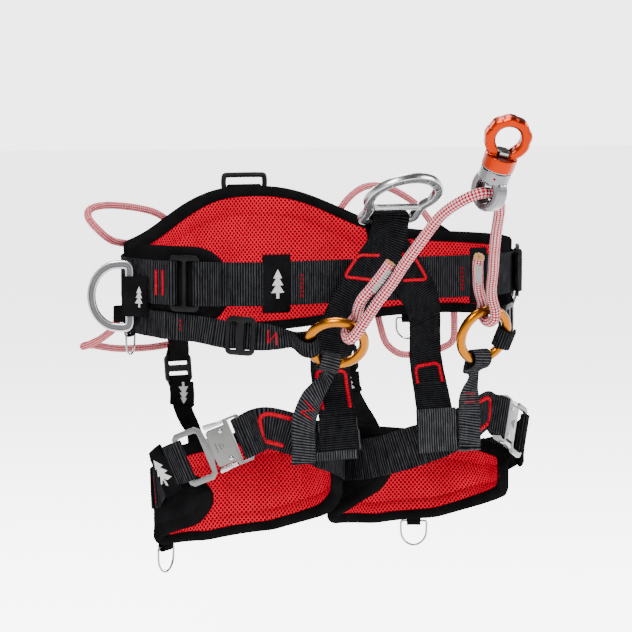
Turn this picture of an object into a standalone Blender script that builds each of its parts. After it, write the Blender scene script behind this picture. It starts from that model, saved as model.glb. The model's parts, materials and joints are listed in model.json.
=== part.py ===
"""Tree climbing saddle: padded waist belt, two padded leg loops, chest D, rope bridge and swivel.

The origin is the middle of the waist opening at belt height. +X is the wearer's left, -Y the front
and +Z up. Names end in _l or _r for the wearer's left or right side. Lengths are in metres.
"""

import math

import bmesh
import bpy
import numpy as np
from mathutils import Matrix, Vector
from mathutils.geometry import tessellate_polygon

GAP = 0.0003  # between pieces that rest on each other
PLAY = 0.0006  # round a piece that swings

# Waist belt, an ellipse seen from above; its angle is counted from the back, towards +X
WAIST_X = 0.219
WAIST_Y = 0.163
PAD_END = 130
PAD_IN = -0.0065
PAD_SPLIT = 0.0025
PAD_OUT = 0.0065

WEB = 0.0025  # thickness of all webbing
WIDE = 0.045
NARROW = 0.028
BELT_OFF = PAD_OUT + GAP + WEB / 2
SLIDER_ANGLE = 116
BAR = 0.004  # square bars of the sliders

SIDE_D_ANGLE = 91
SIDE_D_Z = -0.017
SIDE_D_WIRE = 0.0050
SIDE_D_OFF = 0.0154

# Leg loops, circles seen from above; their angle is counted from the outer side, towards the back
LEG_X = 0.108
LEG_Y = -0.03
LEG_R = 0.096
LEG_HALF = 0.0055
LEG_START = -38
LEG_END = 222

RING_R = 0.0285
RING_WIRE = 0.0055
RING_AT = (0.0903, -0.1862, -0.0582)
RING_FACES = {"l": (0.03, -0.94, -0.34), "r": (-0.40, -0.69, -0.60)}

ROPE_R = 0.0055
CORD_R = 0.004

CHEST_BAR = (0.0, -0.1375, 0.064)
CHEST_UP = (0.0, -0.795, 0.607)

SWIVEL_AT = (0.0, -0.3406, 0.1215)
SWIVEL_UP = (0.06, -0.46, 0.886)
SWIVEL_BASE_FACE = (0.98, 0.15, 0.0)
SWIVEL_EYE_FACE = (-0.30, -0.95, 0.0)

SIDES = (("l", 1), ("r", -1))

BLACK = ("black_fabric", (0.012, 0.012, 0.013), 0.9, 0.0)
RED = ("red_mesh", (0.62, 0.012, 0.02), 0.85, 0.0)
WEBBING = ("grey_webbing", (0.035, 0.036, 0.04), 0.8, 0.0)
STEEL = ("polished_alloy", (0.78, 0.79, 0.8), 0.22, 1.0)
DARK = ("black_steel", (0.03, 0.03, 0.033), 0.4, 0.8)
GUN = ("grey_alloy", (0.36, 0.36, 0.37), 0.3, 1.0)
GOLD = ("gold_anodised", (0.86, 0.42, 0.03), 0.25, 1.0)
ORANGE = ("orange_anodised", (0.78, 0.12, 0.02), 0.3, 1.0)
ROPE = ("red_white_rope", (0.75, 0.3, 0.28), 0.8, 0.0)
PLASTIC = ("black_plastic", (0.02, 0.02, 0.022), 0.45, 0.0)


def clear_scene():
    for item in list(bpy.data.objects):
        bpy.data.objects.remove(item, do_unlink=True)


def material(finish):
    name, colour, rough, metal = finish
    made = bpy.data.materials.get(name)
    if made:
        return made
    made = bpy.data.materials.new(name)
    made.use_nodes = True
    shader = made.node_tree.nodes["Principled BSDF"]
    shader.inputs["Base Color"].default_value = (*colour, 1.0)
    shader.inputs["Roughness"].default_value = rough
    shader.inputs["Metallic"].default_value = metal
    return made


def add_object(name, mesh, finish, origin=(0, 0, 0)):
    """Links a mesh given in world coordinates, with its object's origin at the given point."""
    origin = Vector(origin)
    mesh.transform(Matrix.Translation(-origin))
    item = bpy.data.objects.new(name, mesh)
    item.location = origin
    mesh.materials.append(material(finish))
    bpy.context.scene.collection.objects.link(item)
    return item


def mesh_from(name, points, faces):
    mesh = bpy.data.meshes.new(name)
    mesh.from_pydata([tuple(p) for p in points], [], faces)
    work = bmesh.new()
    work.from_mesh(mesh)
    bmesh.ops.remove_doubles(work, verts=work.verts, dist=1e-6)
    bmesh.ops.recalc_face_normals(work, faces=work.faces)
    work.to_mesh(mesh)
    work.free()
    mesh.shade_smooth()
    mesh.set_sharp_from_angle(angle=math.radians(40))
    return mesh


def unit(v):
    v = np.asarray(v, float)
    return v / np.linalg.norm(v)


def frame(origin, along, face):
    """A matrix whose local x runs along, whose local z is the face normal, at the origin."""
    x = unit(along)
    z = unit(np.asarray(face, float) - np.dot(face, x) * x)
    y = np.cross(z, x)
    made = Matrix.Identity(4)
    for column, axis in enumerate((x, y, z)):
        for row in range(3):
            made[row][column] = axis[row]
    made.translation = Vector(origin)
    return made


def smooth(rows, steps):
    """Catmull-Rom through rows of numbers, each span cut into steps."""
    rows = np.asarray(rows, float)
    padded = np.vstack([2 * rows[0] - rows[1], rows, 2 * rows[-1] - rows[-2]])
    out = []
    for i in range(1, len(padded) - 2):
        a, b, c, d = padded[i - 1 : i + 3]
        for k in range(steps):
            t = k / steps
            out.append(
                0.5 * (2 * b + (c - a) * t + (2 * a - 5 * b + 4 * c - d) * t * t
                       + (3 * b - a - 3 * c + d) * t ** 3)
            )
    out.append(rows[-1])
    return np.array(out)


def loft(name, rings, finish, closed=False, origin=(0, 0, 0)):
    """A skin over rings of equal point count; open lofts get flat ends."""
    count = len(rings[0])
    points = [p for ring in rings for p in ring]
    faces = []
    spans = len(rings) if closed else len(rings) - 1
    for i in range(spans):
        j = (i + 1) % len(rings)
        for k in range(count):
            m = (k + 1) % count
            faces.append((i * count + k, j * count + k, j * count + m, i * count + m))
    if not closed:
        faces.append(tuple(range(count)))
        faces.append(tuple(range(len(points) - 1, len(points) - 1 - count, -1)))
    return add_object(name, mesh_from(name, points, faces), finish, origin)


def strap(name, path, width, finish=WEBBING, steps=2, thick=WEB):
    """A flat band along (position, face normal, width share) rows."""
    rows = [[*p[0], *unit(p[1]), p[2] if len(p) > 2 else 1.0] for p in path]
    rows = smooth(rows, steps)
    rings = []
    for i, row in enumerate(rows):
        before = rows[max(i - 1, 0)][:3]
        after = rows[min(i + 1, len(rows) - 1)][:3]
        ahead = unit(after - before)
        side = unit(np.cross(ahead, row[3:6]))
        up = np.cross(side, ahead)
        across = side * width * row[6] / 2
        rise = up * thick / 2
        p = row[:3]
        rings.append([p - across - rise, p + across - rise, p + across + rise, p - across + rise])
    return loft(name, rings, finish)


def loop_end(bar, ahead, face, radius, tail, share=1.0, entry=0.0):
    """Rows that pass a bar on the side its face vector points to, turn round it and come back.

    A straight entry of the given length keeps the two plies parallel.
    """
    ahead, face = unit(ahead), unit(face)
    rows = []
    if entry:
        rows.append((bar + face * radius - ahead * entry, face, share))
    for degrees in (90, 45, 0, -45, -90):
        a = math.radians(degrees)
        out = math.cos(a) * ahead + math.sin(a) * face
        rows.append((bar + radius * out, out, share))
    if tail:
        rows.append((bar - ahead * radius * 0.9 - face * radius * 0.55, -face, share))
        back = face * (radius - WEB - 0.0007)
        rows.append((bar + back - ahead * (radius * 1.2 + tail * 0.3), -face, share))
        rows.append((bar + back - ahead * tail, -face, share))
    return rows


def reverse(rows):
    return [(r[0], r[1], *r[2:]) for r in reversed(rows)]


def cord(name, route, radius, finish=ROPE, spacing=2.5):
    """A round cord along a smooth curve through the route's points."""
    line = smooth(route, 12)
    along = np.concatenate([[0], np.cumsum(np.linalg.norm(np.diff(line, axis=0), axis=1))])
    count = min(80, max(6, round(along[-1] / (2 * radius * spacing))))
    at = np.linspace(0, along[-1], count)
    points = np.stack([np.interp(at, along, line[:, k]) for k in range(3)], axis=1)
    curve = bpy.data.curves.new(name, "CURVE")
    curve.dimensions = "3D"
    curve.bevel_depth = radius
    curve.bevel_resolution = 2
    curve.render_resolution_u = 0
    curve.use_fill_caps = True
    spline = curve.splines.new("POLY")
    spline.points.add(count - 1)
    for point, place in zip(spline.points, points):
        point.co = (*place, 1.0)
    curve.materials.append(material(finish))
    item = bpy.data.objects.new(name, curve)
    bpy.context.scene.collection.objects.link(item)
    return item


def round_section(radius, sides=8):
    turns = [2 * math.pi * (k + 0.5) / sides for k in range(sides)]
    return [(radius * math.cos(a), radius * math.sin(a)) for a in turns]


def oval_section(half_in, half_up):
    """A chamfered rectangle: half its size in the loop's plane, and half across it."""
    c = min(half_in, half_up) * 0.45
    return [(half_in, -half_up + c), (half_in, half_up - c), (half_in - c, half_up),
            (c - half_in, half_up), (-half_in, half_up - c), (-half_in, c - half_up),
            (c - half_in, -half_up), (half_in - c, -half_up)]


def loop_rings(outline, section, place):
    """Rings of a section swept round a closed flat outline in the frame's xy plane."""
    outline = np.asarray(outline, float)
    count = len(outline)
    rings = []
    for i in range(count):
        before = unit(outline[i] - outline[i - 1])
        after = unit(outline[(i + 1) % count] - outline[i])
        ahead = unit(before + after)
        stretch = 1 / max(0.6, float(np.dot(ahead, after)))
        out = np.array([ahead[1], -ahead[0]]) * stretch
        ring = []
        for a, b in section:
            flat = outline[i] + out * a
            ring.append(place @ Vector((flat[0], flat[1], b)))
        rings.append(ring)
    return rings


def ring_loop(name, outline, section, place, finish, origin=None):
    where = place.translation if origin is None else origin
    return loft(name, loop_rings(outline, section, place), finish, closed=True, origin=where)


def circle(radius, count=28):
    turns = [2 * math.pi * k / count for k in range(count)]
    return [(radius * math.cos(a), radius * math.sin(a)) for a in turns]


def d_outline(half, straight, reach, count=12):
    """A D with its straight bar on local y at x = 0 and its bow towards +x."""
    bow = []
    for k in range(count + 1):
        a = -math.pi / 2 + math.pi * k / count
        bow.append((straight + (reach - straight) * math.cos(a), half * math.sin(a)))
    corner = half * 0.12
    return [(0.0, half - corner), (0.0, corner - half), (corner, -half)] + bow + [(corner, half)]


def rounded_box(length, height, radius, steps=3):
    """The corner-rounded rectangle's outline, counter-clockwise, centred on the origin."""
    points = []
    for cx, cy, start in ((1, 1, 0), (-1, 1, 90), (-1, -1, 180), (1, -1, 270)):
        for k in range(steps + 1):
            a = math.radians(start + 90 * k / steps)
            points.append((cx * (length / 2 - radius) + radius * math.cos(a),
                           cy * (height / 2 - radius) + radius * math.sin(a)))
    return points


def shifted(outline, dx, dy=0.0):
    return [(x + dx, y + dy) for x, y in outline]


def plate(name, outline, holes, thick, place, finish, origin=None):
    """A flat plate with through holes, its middle plane in the frame's xy plane."""
    loops = [outline, *holes]
    flat = [Vector((x, y, 0)) for loop in loops for x, y in loop]
    count = len(flat)
    triangles = tessellate_polygon([[Vector((x, y, 0)) for x, y in loop] for loop in loops])
    points = [place @ (p + Vector((0, 0, h))) for h in (-thick / 2, thick / 2) for p in flat]
    faces = [tuple(t) for t in triangles]
    faces += [tuple(i + count for i in reversed(t)) for t in triangles]
    start = 0
    for loop in loops:
        for k in range(len(loop)):
            a = start + k
            b = start + (k + 1) % len(loop)
            faces.append((a, b, b + count, a + count))
        start += len(loop)
    mesh = mesh_from(name, points, faces)
    where = place.translation if origin is None else origin
    return add_object(name, mesh, finish, where)


def cut(item, cutter):
    """Subtracts the cutter from the item with an exact Boolean."""
    cutter.hide_render = True
    cutter.display_type = "WIRE"
    change = item.modifiers.new("cut", "BOOLEAN")
    change.operation = "DIFFERENCE"
    change.solver = "EXACT"
    change.object = cutter


def join(item, other):
    """Adds the other solid to the item with an exact Boolean."""
    other.hide_render = True
    other.display_type = "WIRE"
    change = item.modifiers.new("join", "BOOLEAN")
    change.operation = "UNION"
    change.solver = "EXACT"
    change.object = other


def rod(name, radius, low, high, place, finish, sides=24):
    """A straight cylinder along the frame's z, from low to high."""
    rings = []
    for h in (low, high):
        rings.append([place @ Vector((x, y, h)) for x, y in circle(radius, sides)])
    return loft(name, rings, finish, origin=place.translation)


def waist(angle, off, z=0.0):
    """A point at this offset outside the waist ellipse, and the outward normal there."""
    a = math.radians(angle)
    out = unit((math.sin(a) / WAIST_X, math.cos(a) / WAIST_Y, 0))
    return np.array([WAIST_X * math.sin(a), WAIST_Y * math.cos(a), z]) + out * off, out


def leg(angle, off, z, side):
    """A point outside a leg loop's circle, and the outward normal there."""
    a = math.radians(angle)
    out = np.array([side * math.cos(a), math.sin(a), 0.0])
    centre = np.array([side * LEG_X, LEG_Y, z])
    return centre + out * (LEG_R + off), out


def mirrored(point, side):
    return np.array([point[0] * side, point[1], point[2]], float)


def end_round(distance, reach):
    """The share of full height this far from a rounded end."""
    t = max(0.0, 1 - distance / reach)
    return max(0.3, math.sqrt(max(0.0, 1 - t * t)))


def pad_heights(angle):
    """Low and high edge of the back pad at this angle."""
    high = 0.035 + 0.053 * math.exp(-(abs(angle) / 34) ** 2.6)
    low = -0.053 - 0.024 * math.exp(-(abs(angle) / 45) ** 2)
    low += 0.012 * max(0.0, (abs(angle) - 95) / 35)
    share = end_round(PAD_END - abs(angle), 13)
    middle = (high + low) / 2
    half = (high - low) / 2 * share
    return middle - half, middle + half


def back_pad():
    angles = np.linspace(-PAD_END, PAD_END, 45)
    lining, shell = [], []
    for angle in angles:
        low, high = pad_heights(angle)
        inset = min(0.006, (high - low) * 0.2)
        edge = PAD_IN + 0.004
        corners = [(PAD_IN, high - inset), (edge, high), (PAD_SPLIT, high),
                   (PAD_SPLIT, low), (edge, low), (PAD_IN, low + inset)]
        lining.append([waist(angle, off, z)[0] for off, z in corners])
        skin = PAD_SPLIT + GAP
        corners = [(skin, high), (PAD_OUT, high - 0.002), (PAD_OUT, low + 0.002), (skin, low)]
        shell.append([waist(angle, off, z)[0] for off, z in corners])
    loft("back_pad_lining", lining, RED)
    loft("back_pad_shell", shell, BLACK)


def slider_place(side):
    angle = side * SLIDER_ANGLE
    centre, out = waist(angle, BELT_OFF + slider_wrap())
    forward = unit(np.cross((0, 0, -side), out))
    return centre, forward, out


def slider_wrap():
    return BAR / 2 * math.sqrt(2) + 0.0004 + WEB / 2


def waist_belt():
    """Webbing round the outside of the pad, and across the front between the two sliders."""
    bar_at = 0.015
    ends = {}
    for tag, side in SIDES:
        centre, forward, out = slider_place(side)
        place = frame(centre, forward, out)
        slots = [rounded_box(0.011, 0.047, 0.002, 2) for _ in range(2)]
        holes = [shifted(slots[0], -0.0075), shifted(slots[1], 0.0075)]
        plate(f"waist_slider_{tag}", rounded_box(0.034, 0.058, 0.006), holes, BAR, place, DARK)
        ends[tag] = (centre - forward * bar_at, centre + forward * bar_at, forward, out)
    rear = []
    bar, _, forward, out = ends["r"]
    rear += reverse(loop_end(bar, forward, -out, slider_wrap(), 0.026))
    for angle in (-107, -98, *range(-84, 85, 14), 98, 107):
        point, normal = waist(angle, BELT_OFF + 0.0004)
        rear.append((point, normal))
    bar, _, forward, out = ends["l"]
    rear += loop_end(bar, forward, -out, slider_wrap(), 0.026)
    strap("rear_belt", flip_inside(rear, waist_outward), WIDE, steps=3)
    front = []
    _, bar, forward, out = ends["l"]
    front += reverse(loop_end(bar, -forward, -out, slider_wrap(), 0.026))
    across = [waist(127.5, BELT_OFF + 0.0004)[0], (0.151, -0.1245, 0), (0.11, -0.1295, 0),
              (0.055, -0.1295, 0), (0.0, -0.129, 0)]
    half = [(np.array(p, float), (0.7, -0.72, 0) if i == 0 else (p[0] * 2, -1, 0))
            for i, p in enumerate(across)]
    front += half
    front += [(mirrored(p, -1), (-n[0], n[1], n[2])) for p, n in reversed(half[:-1])]
    _, bar, forward, out = ends["r"]
    front += loop_end(bar, -forward, -out, slider_wrap(), 0.026)
    strap("front_belt", flip_inside(front, waist_outward), WIDE)


def waist_outward(point):
    return np.array([point[0], point[1], 0.0])


def flip_inside(rows, outward):
    """Turns each row's face vector so that it keeps turning smoothly along the path."""
    out = []
    last = None
    for row in rows:
        face = unit(row[1])
        if last is None:
            face = face if np.dot(face, outward(row[0])) > 0 else -face
        elif np.dot(face, last) < -0.5:
            face = -face
        out.append((row[0], face, *row[2:]))
        last = face
    return out


def side_ds():
    """A D on each hip, held by a webbing sleeve round its straight bar."""
    for tag, side in SIDES:
        bar, out = waist(side * SIDE_D_ANGLE, SIDE_D_OFF, SIDE_D_Z)
        reach = unit((side * 0.88, 0.47, 0))
        place = frame(bar, reach, np.cross(reach, (0, 0, 1)))
        outline = d_outline(0.033, 0.012, 0.040)
        ring_loop(f"side_d_{tag}", outline, round_section(SIDE_D_WIRE), place, STEEL)
        forward = unit(np.cross((0, 0, -side), out))
        on_belt = BELT_OFF + WEB + GAP + 0.0009
        wrap = SIDE_D_WIRE + PLAY + WEB / 2
        rows = [waist(side * 81, on_belt, SIDE_D_Z), waist(side * 86, on_belt, SIDE_D_Z)]
        for degrees in (-60, -20, 20, 60):
            a = math.radians(degrees)
            turn = math.cos(a) * out + math.sin(a) * forward
            rows.append((bar + turn * (wrap + 0.0006), turn))
        rows += [waist(side * 96, on_belt, SIDE_D_Z), waist(side * 100, on_belt, SIDE_D_Z)]
        strap(f"side_d_sleeve_{tag}", rows, 0.042, BLACK)


def back_loop():
    """The rectangular ring above the back pad and the tab that holds it."""
    wire = 0.0031
    bar = np.array([0.0, WAIST_Y + PAD_OUT + 0.0085, 0.086])
    outline = rounded_box(0.054, 0.0165, 0.005)
    place = frame(bar + np.array([0, 0, 0.00825]), (1, 0, 0), (0, -1, 0))
    ring_loop("back_loop", outline, oval_section(wire, wire), place, PLASTIC, origin=bar)
    back = np.array([0.0, 1.0, 0.0])
    up = np.array([0.0, 0.0, 1.0])
    wrap = wire + PLAY + WEB / 2
    near = WAIST_Y + BELT_OFF + 0.0002
    rows = [(np.array([0, near, 0.030]), -back), (np.array([0, near, 0.055]), -back),
            (np.array([0, near + 0.0006, 0.072]), -back)]
    rows += loop_end(bar, up, -back, wrap, 0.0)
    rows += [(np.array([0, near + 0.0102, 0.0785]), back), (np.array([0, near + 0.0048, 0.067]), back),
             (np.array([0, near + 0.0034, 0.052]), back)]
    strap("back_loop_tab", rows, 0.042, BLACK)


def gear_loops():
    """Four tool cords, each sewn to the outside of the pad at both ends."""
    routes = {
        "gear_loop_upper_r": [(-0.098, 0.1590, 0.030), (-0.107, 0.1570, 0.050), (-0.130, 0.158, 0.064),
                              (-0.172, 0.162, 0.071), (-0.215, 0.127, 0.071), (-0.241, 0.086, 0.064),
                              (-0.238, 0.070, 0.051), (-0.215, 0.082, 0.037), (-0.1885, 0.1030, 0.0320),
                              (-0.1650, 0.1222, 0.0288), (-0.1496, 0.1325, 0.0285)],
        "gear_loop_upper_l": [(0.098, 0.1590, 0.030), (0.112, 0.1550, 0.056), (0.135, 0.159, 0.078),
                              (0.165, 0.165, 0.088), (0.190, 0.158, 0.083), (0.212, 0.140, 0.066),
                              (0.217, 0.118, 0.048), (0.2115, 0.078, 0.029)],
        "gear_loop_lower_r": [(-0.2232, 0.0450, -0.034), (-0.2265, 0.0480, -0.052), (-0.2360, 0.066, -0.068),
                              (-0.236, 0.110, -0.080), (-0.210, 0.150, -0.083), (-0.160, 0.175, -0.092),
                              (-0.100, 0.186, -0.092), (-0.060, 0.182, -0.080), (-0.046, 0.174, -0.056),
                              (-0.044, 0.1705, -0.034)],
        "gear_loop_lower_l": [(0.150, 0.1325, -0.036), (0.156, 0.134, -0.066), (0.166, 0.132, -0.098),
                              (0.180, 0.124, -0.111), (0.208, 0.110, -0.109), (0.230, 0.090, -0.098),
                              (0.227, 0.078, -0.074), (0.2165, 0.066, -0.036)],
    }
    for name, route in routes.items():
        cord(name, route, CORD_R)


def hanging_d(name, bar, away, half, reach, wire):
    """A wire D hanging from its straight bar; away is its face normal."""
    place = frame(bar, (0, 0, -1), away)
    ring_loop(name, d_outline(half, reach * 0.3, reach, 10), round_section(wire, 6), place, STEEL)


def belt_rings():
    """A small ring on a webbing tab at the pad's lower rear edge on each side."""
    wire = 0.0019
    for tag, side in SIDES:
        angle = side * 52
        low, _ = pad_heights(angle)
        top, out = waist(angle, BELT_OFF + 0.0037, low - 0.0080)
        hanging_d(f"belt_ring_{tag}", top, out, 0.0125, 0.0235, wire)
        wrap = wire + PLAY + WEB / 2
        rows = [waist(angle, BELT_OFF, low + 0.026), waist(angle, BELT_OFF, low + 0.008)]
        rows += loop_end(top, (0, 0, -1), -out, wrap, 0.0)
        rows += [(waist(angle, BELT_OFF + 0.0062, low + 0.004)[0], -out),
                 (waist(angle, BELT_OFF + 0.0034, low + 0.020)[0], -out)]
        strap(f"belt_ring_tab_{tag}", flip_inside(rows, waist_outward), 0.012, BLACK)


def ring_grip(tag, toward):
    """Where something pulling towards a point takes hold of a gold ring: wire centre, pull, wire."""
    side = 1 if tag == "l" else -1
    centre = mirrored(RING_AT, side)
    face = unit(RING_FACES[tag])
    pull = np.asarray(toward, float) - centre
    pull = unit(pull - np.dot(pull, face) * face)
    return centre + pull * RING_R, pull, np.cross(face, pull)


def bridge_rings():
    for tag, side in SIDES:
        face = unit(RING_FACES[tag])
        place = frame(mirrored(RING_AT, side), np.cross(face, (0, 0, 1)), face)
        ring_loop(f"bridge_ring_{tag}", circle(RING_R, 32), round_section(RING_WIRE), place, GOLD)


def ring_wrap(tag, toward, face_hint, entry):
    """Rows of a strap end that comes from a point, goes through a gold ring and doubles back."""
    grip, pull, wire = ring_grip(tag, toward)
    ahead = -pull
    face = unit(np.cross(wire, ahead))
    if np.dot(face, face_hint) < 0:
        face = -face
    shift = grip + ahead * 0.0012
    return loop_end(shift, ahead, face, 0.0091, 0.018, 0.72, entry)


def bridge_straps():
    """Webbing from under each side D, past the pad's front end, through an adjuster, to a gold ring."""
    for tag, side in SIDES:
        rows = []
        for angle, z in ((86, -0.0425), (97, -0.0435), (108, -0.0450), (119, -0.0465)):
            point, out = waist(side * angle, BELT_OFF + 0.0003, z)
            rows.append((point, out))
        adjuster = mirrored((0.1655, -0.1215, -0.0525), side)
        ahead = unit(mirrored(RING_AT, side) - adjuster)
        out = unit(np.cross(ahead, (0, 0, side)))
        out = out if out[1] < 0 else -out
        rows.append((adjuster - ahead * 0.020 - out * 0.0034, out))
        rows.append((adjuster - out * 0.0042, out))
        rows.append((adjuster + ahead * 0.022 - out * 0.0042, out))
        rows += ring_wrap(tag, adjuster, -out, 0.014)
        strap(f"bridge_strap_{tag}", flip_inside(rows, waist_outward), NARROW, steps=3)
        place = frame(adjuster + out * 0.0006, ahead, out)
        holes = [shifted(rounded_box(0.008, 0.029, 0.002, 2), dx) for dx in (-0.0075, 0.0075)]
        plate(f"bridge_adjuster_{tag}", rounded_box(0.031, 0.040, 0.006), holes, 0.0035, place, DARK)


def bridge_rope():
    """The rope bridge: a sewn eye round each gold ring, and one run through the swivel."""
    left_grip, left_pull, _ = ring_grip("r", (-0.03, -0.27, 0.05))
    right_grip, right_pull, _ = ring_grip("l", (0.088, -0.235, 0.03))
    wrap = RING_WIRE + ROPE_R + 0.0018
    route = []
    left_face = unit(RING_FACES["r"])
    right_face = unit(RING_FACES["l"])

    def eye(grip, pull, face):
        turns = []
        for degrees in (100, 50, 0, -50, -100):
            a = math.radians(degrees)
            turns.append(grip + wrap * (-pull * math.cos(a) + face * math.sin(a)))
        return turns

    left_eye = eye(left_grip, left_pull, -left_face)
    right_eye = eye(right_grip, right_pull, right_face)
    route += [(-0.0650, -0.2500, 0.0265), (-0.0700, -0.2430, 0.0150), (-0.0760, -0.2330, 0.0010),
              (-0.0830, -0.2230, -0.0130)]
    route += left_eye
    route += [(-0.0722, -0.2380, -0.0130), (-0.0633, -0.2490, 0.0050), (-0.0558, -0.2640, 0.0276),
              (-0.0490, -0.2790, 0.0470), (-0.0380, -0.3000, 0.0745), (-0.0245, -0.3185, 0.0900),
              (-0.0112, -0.3285, 0.0968), (-0.0017, -0.3277, 0.0964), (0.0078, -0.3262, 0.0955),
              (0.0185, -0.3185, 0.0830), (0.0300, -0.2985, 0.0655), (0.0455, -0.2720, 0.0460),
              (0.0670, -0.2370, 0.0135), (0.0800, -0.2150, -0.0120)]
    route += right_eye
    route += [(0.0760, -0.1970, -0.0080), (0.0690, -0.2060, 0.0060), (0.0620, -0.2160, 0.0190),
              (0.0590, -0.2230, 0.0270)]
    cord("bridge_rope", route, ROPE_R, spacing=0.9)


def swivel_eye_ring(name, at, up, face, radius, section, finish):
    """An eye's ring, its plane through the swivel's axis and square to the face vector."""
    return ring_loop(name, circle(radius, 28), section, frame(at, up, face), finish)


def swivel():
    """The rigging swivel: a lower eye on the rope, a bolt, a washer and a turning upper eye."""
    up = unit(SWIVEL_UP)
    at = np.array(SWIVEL_AT)
    place = frame(at, np.cross(up, SWIVEL_EYE_FACE), up)
    base = rod("swivel_base", 0.0155, -0.0125, -0.0006, place, GUN)
    join(base, swivel_eye_ring("swivel_base_ring", at - up * 0.0245, up, SWIVEL_BASE_FACE, 0.0160,
                               oval_section(0.0050, 0.0070), GUN))
    cut(base, rod("swivel_base_bore", 0.0056, -0.028, 0.01, place, GUN))
    top = rod("swivel_eye", 0.0165, 0.0012, 0.0145, place, ORANGE)
    join(top, swivel_eye_ring("swivel_eye_ring", at + up * 0.0335, up, SWIVEL_EYE_FACE, 0.0182,
                              oval_section(0.0054, 0.0068), ORANGE))
    cut(top, rod("swivel_eye_bore", 0.0057, -0.01, 0.018, place, ORANGE))
    cut(top, rod("swivel_eye_pocket", 0.0094, 0.0147, 0.030, place, ORANGE))
    bolt = rod("swivel_bolt", 0.0050, -0.0190, 0.0170, place, STEEL)
    join(bolt, rod("swivel_bolt_nut", 0.0085, 0.0153, 0.0200, place, STEEL, 6))
    join(bolt, rod("swivel_bolt_head", 0.0062, -0.0196, -0.0174, place, STEEL))
    plate("swivel_washer", circle(0.0148, 24), [circle(0.0058, 24)], 0.0010,
          frame(at + up * 0.0003, np.cross(up, SWIVEL_EYE_FACE), up), STEEL)


def chest_d():
    """The chest attachment: a bow above a cross bar, and a lower bar that the webbing goes over."""
    up = unit(CHEST_UP)
    bar = np.array(CHEST_BAR)
    place = frame(bar, up, np.cross(up, (1, 0, 0)))
    width = 0.031
    outline = [(0.0, width - 0.004), (0.0, 0.004 - width), (0.004, -width), (0.012, -width + 0.0006),
               (0.022, -0.0315), (0.034, -0.0385), (0.048, -0.0385), (0.060, -0.0310),
               (0.069, -0.0180), (0.0725, 0.0), (0.069, 0.0180), (0.060, 0.0310),
               (0.048, 0.0385), (0.034, 0.0385), (0.022, 0.0315), (0.012, width - 0.0006),
               (0.004, width)]
    d = ring_loop("chest_d", outline, oval_section(0.0058, 0.0040), place, STEEL)
    cross = frame(bar + up * 0.021, (1, 0, 0), np.cross(up, (1, 0, 0)))
    half = 0.032
    rings = []
    for x in (-half, half):
        rings.append([cross @ Vector((x, a, b)) for a, b in oval_section(0.0040, 0.0032)])
    join(d, loft("chest_d_cross_bar", rings, STEEL))


def chest_webbing():
    """One webbing over the chest D's lower bar: front ply to the right leg, rear ply to the left."""
    bar = np.array(CHEST_BAR)
    wrap = 0.0060 + PLAY + WEB / 2
    front = (0, -1, 0)
    right = [((-0.0595, -0.1420, -0.186), front), ((-0.0595, -0.1400, -0.165), front),
             ((-0.0600, -0.1370, -0.138), front), ((-0.0590, -0.1210, -0.085), (-0.15, -1, 0.1)),
             ((-0.0480, -0.1355, -0.032), (-0.15, -1, -0.1)), ((-0.0280, -0.1420, 0.004), front),
             ((-0.0070, -0.1455, 0.036), front)]
    left = [(mirrored(p, -1), (-n[0], n[1], n[2])) for p, n in right[:-2]]
    left += [((0.0280, -0.1348, 0.004), front), ((0.0070, -0.1312, 0.036), front)]
    over = []
    for degrees in (0, 45, 90, 135, 180):
        a = math.radians(degrees)
        turn = np.array([0, -math.cos(a), math.sin(a)])
        over.append((bar + turn * wrap, turn))
    rows = [(np.array(p, float), n) for p, n in right] + over
    rows += [(np.array(p, float), (-n[0], -n[1], -n[2])) for p, n in reversed(left)]
    strap("chest_webbing", rows, WIDE)


def leg_heights(angle):
    """Low and high edge of a leg pad at this angle."""
    marks = [-38, 0, 45, 90, 135, 180, 222]
    highs = np.interp(angle, marks, [-0.203, -0.202, -0.196, -0.188, -0.176, -0.166, -0.168])
    lows = np.interp(angle, marks, [-0.245, -0.266, -0.292, -0.297, -0.287, -0.262, -0.222])
    share = end_round(min(angle - LEG_START, LEG_END - angle), 14)
    middle = (highs + lows) / 2
    half = (highs - lows) / 2 * share
    return middle - half, middle + half


def leg_pads():
    for tag, side in SIDES:
        rings = []
        for angle in np.linspace(LEG_START, LEG_END, 34):
            low, high = leg_heights(angle)
            inset = min(0.006, (high - low) * 0.2)
            corners = [(-LEG_HALF, high - inset), (-LEG_HALF + 0.004, high), (LEG_HALF, high - 0.002),
                       (LEG_HALF, low + 0.002), (-LEG_HALF + 0.004, low), (-LEG_HALF, low + inset)]
            rings.append([leg(angle, off, z, side)[0] for off, z in corners])
        loft(f"leg_pad_{tag}", rings, RED)


def buckle_frame(side):
    """Middle, direction towards the male half, and outward face of a leg buckle."""
    middle = mirrored((0.1850, -0.1010, -0.1700), side)
    ahead = unit(mirrored((0.778, 0.501, -0.38), side))
    face = unit(mirrored((0.541, -0.841, 0.0), side))
    return middle, ahead, face


def leg_buckles():
    """Quick-connect buckles: a female housing with two sprung levers and a male frame."""
    thick = 0.004
    for tag, side in SIDES:
        middle, ahead, face = buckle_frame(side)
        place = frame(middle, ahead, face)
        tongue = 0.010
        outline = [(-0.014, -tongue), (0.0045, -tongue), (0.0065, -0.024), (0.0125, -0.029),
                   (0.034, -0.029), (0.038, -0.025), (0.038, 0.025), (0.034, 0.029),
                   (0.0125, 0.029), (0.0065, 0.024), (0.0045, tongue), (-0.014, tongue)]
        slot = shifted(rounded_box(0.022, 0.046, 0.003, 2), 0.0225)
        plate(f"leg_buckle_male_{tag}", outline, [slot], thick, place, STEEL)
        female_housing(tag, place, thick, tongue)
        for name, way in (("upper", 1), ("lower", -1)):
            lever(f"leg_buckle_lever_{name}_{tag}", place, way * side)


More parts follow.
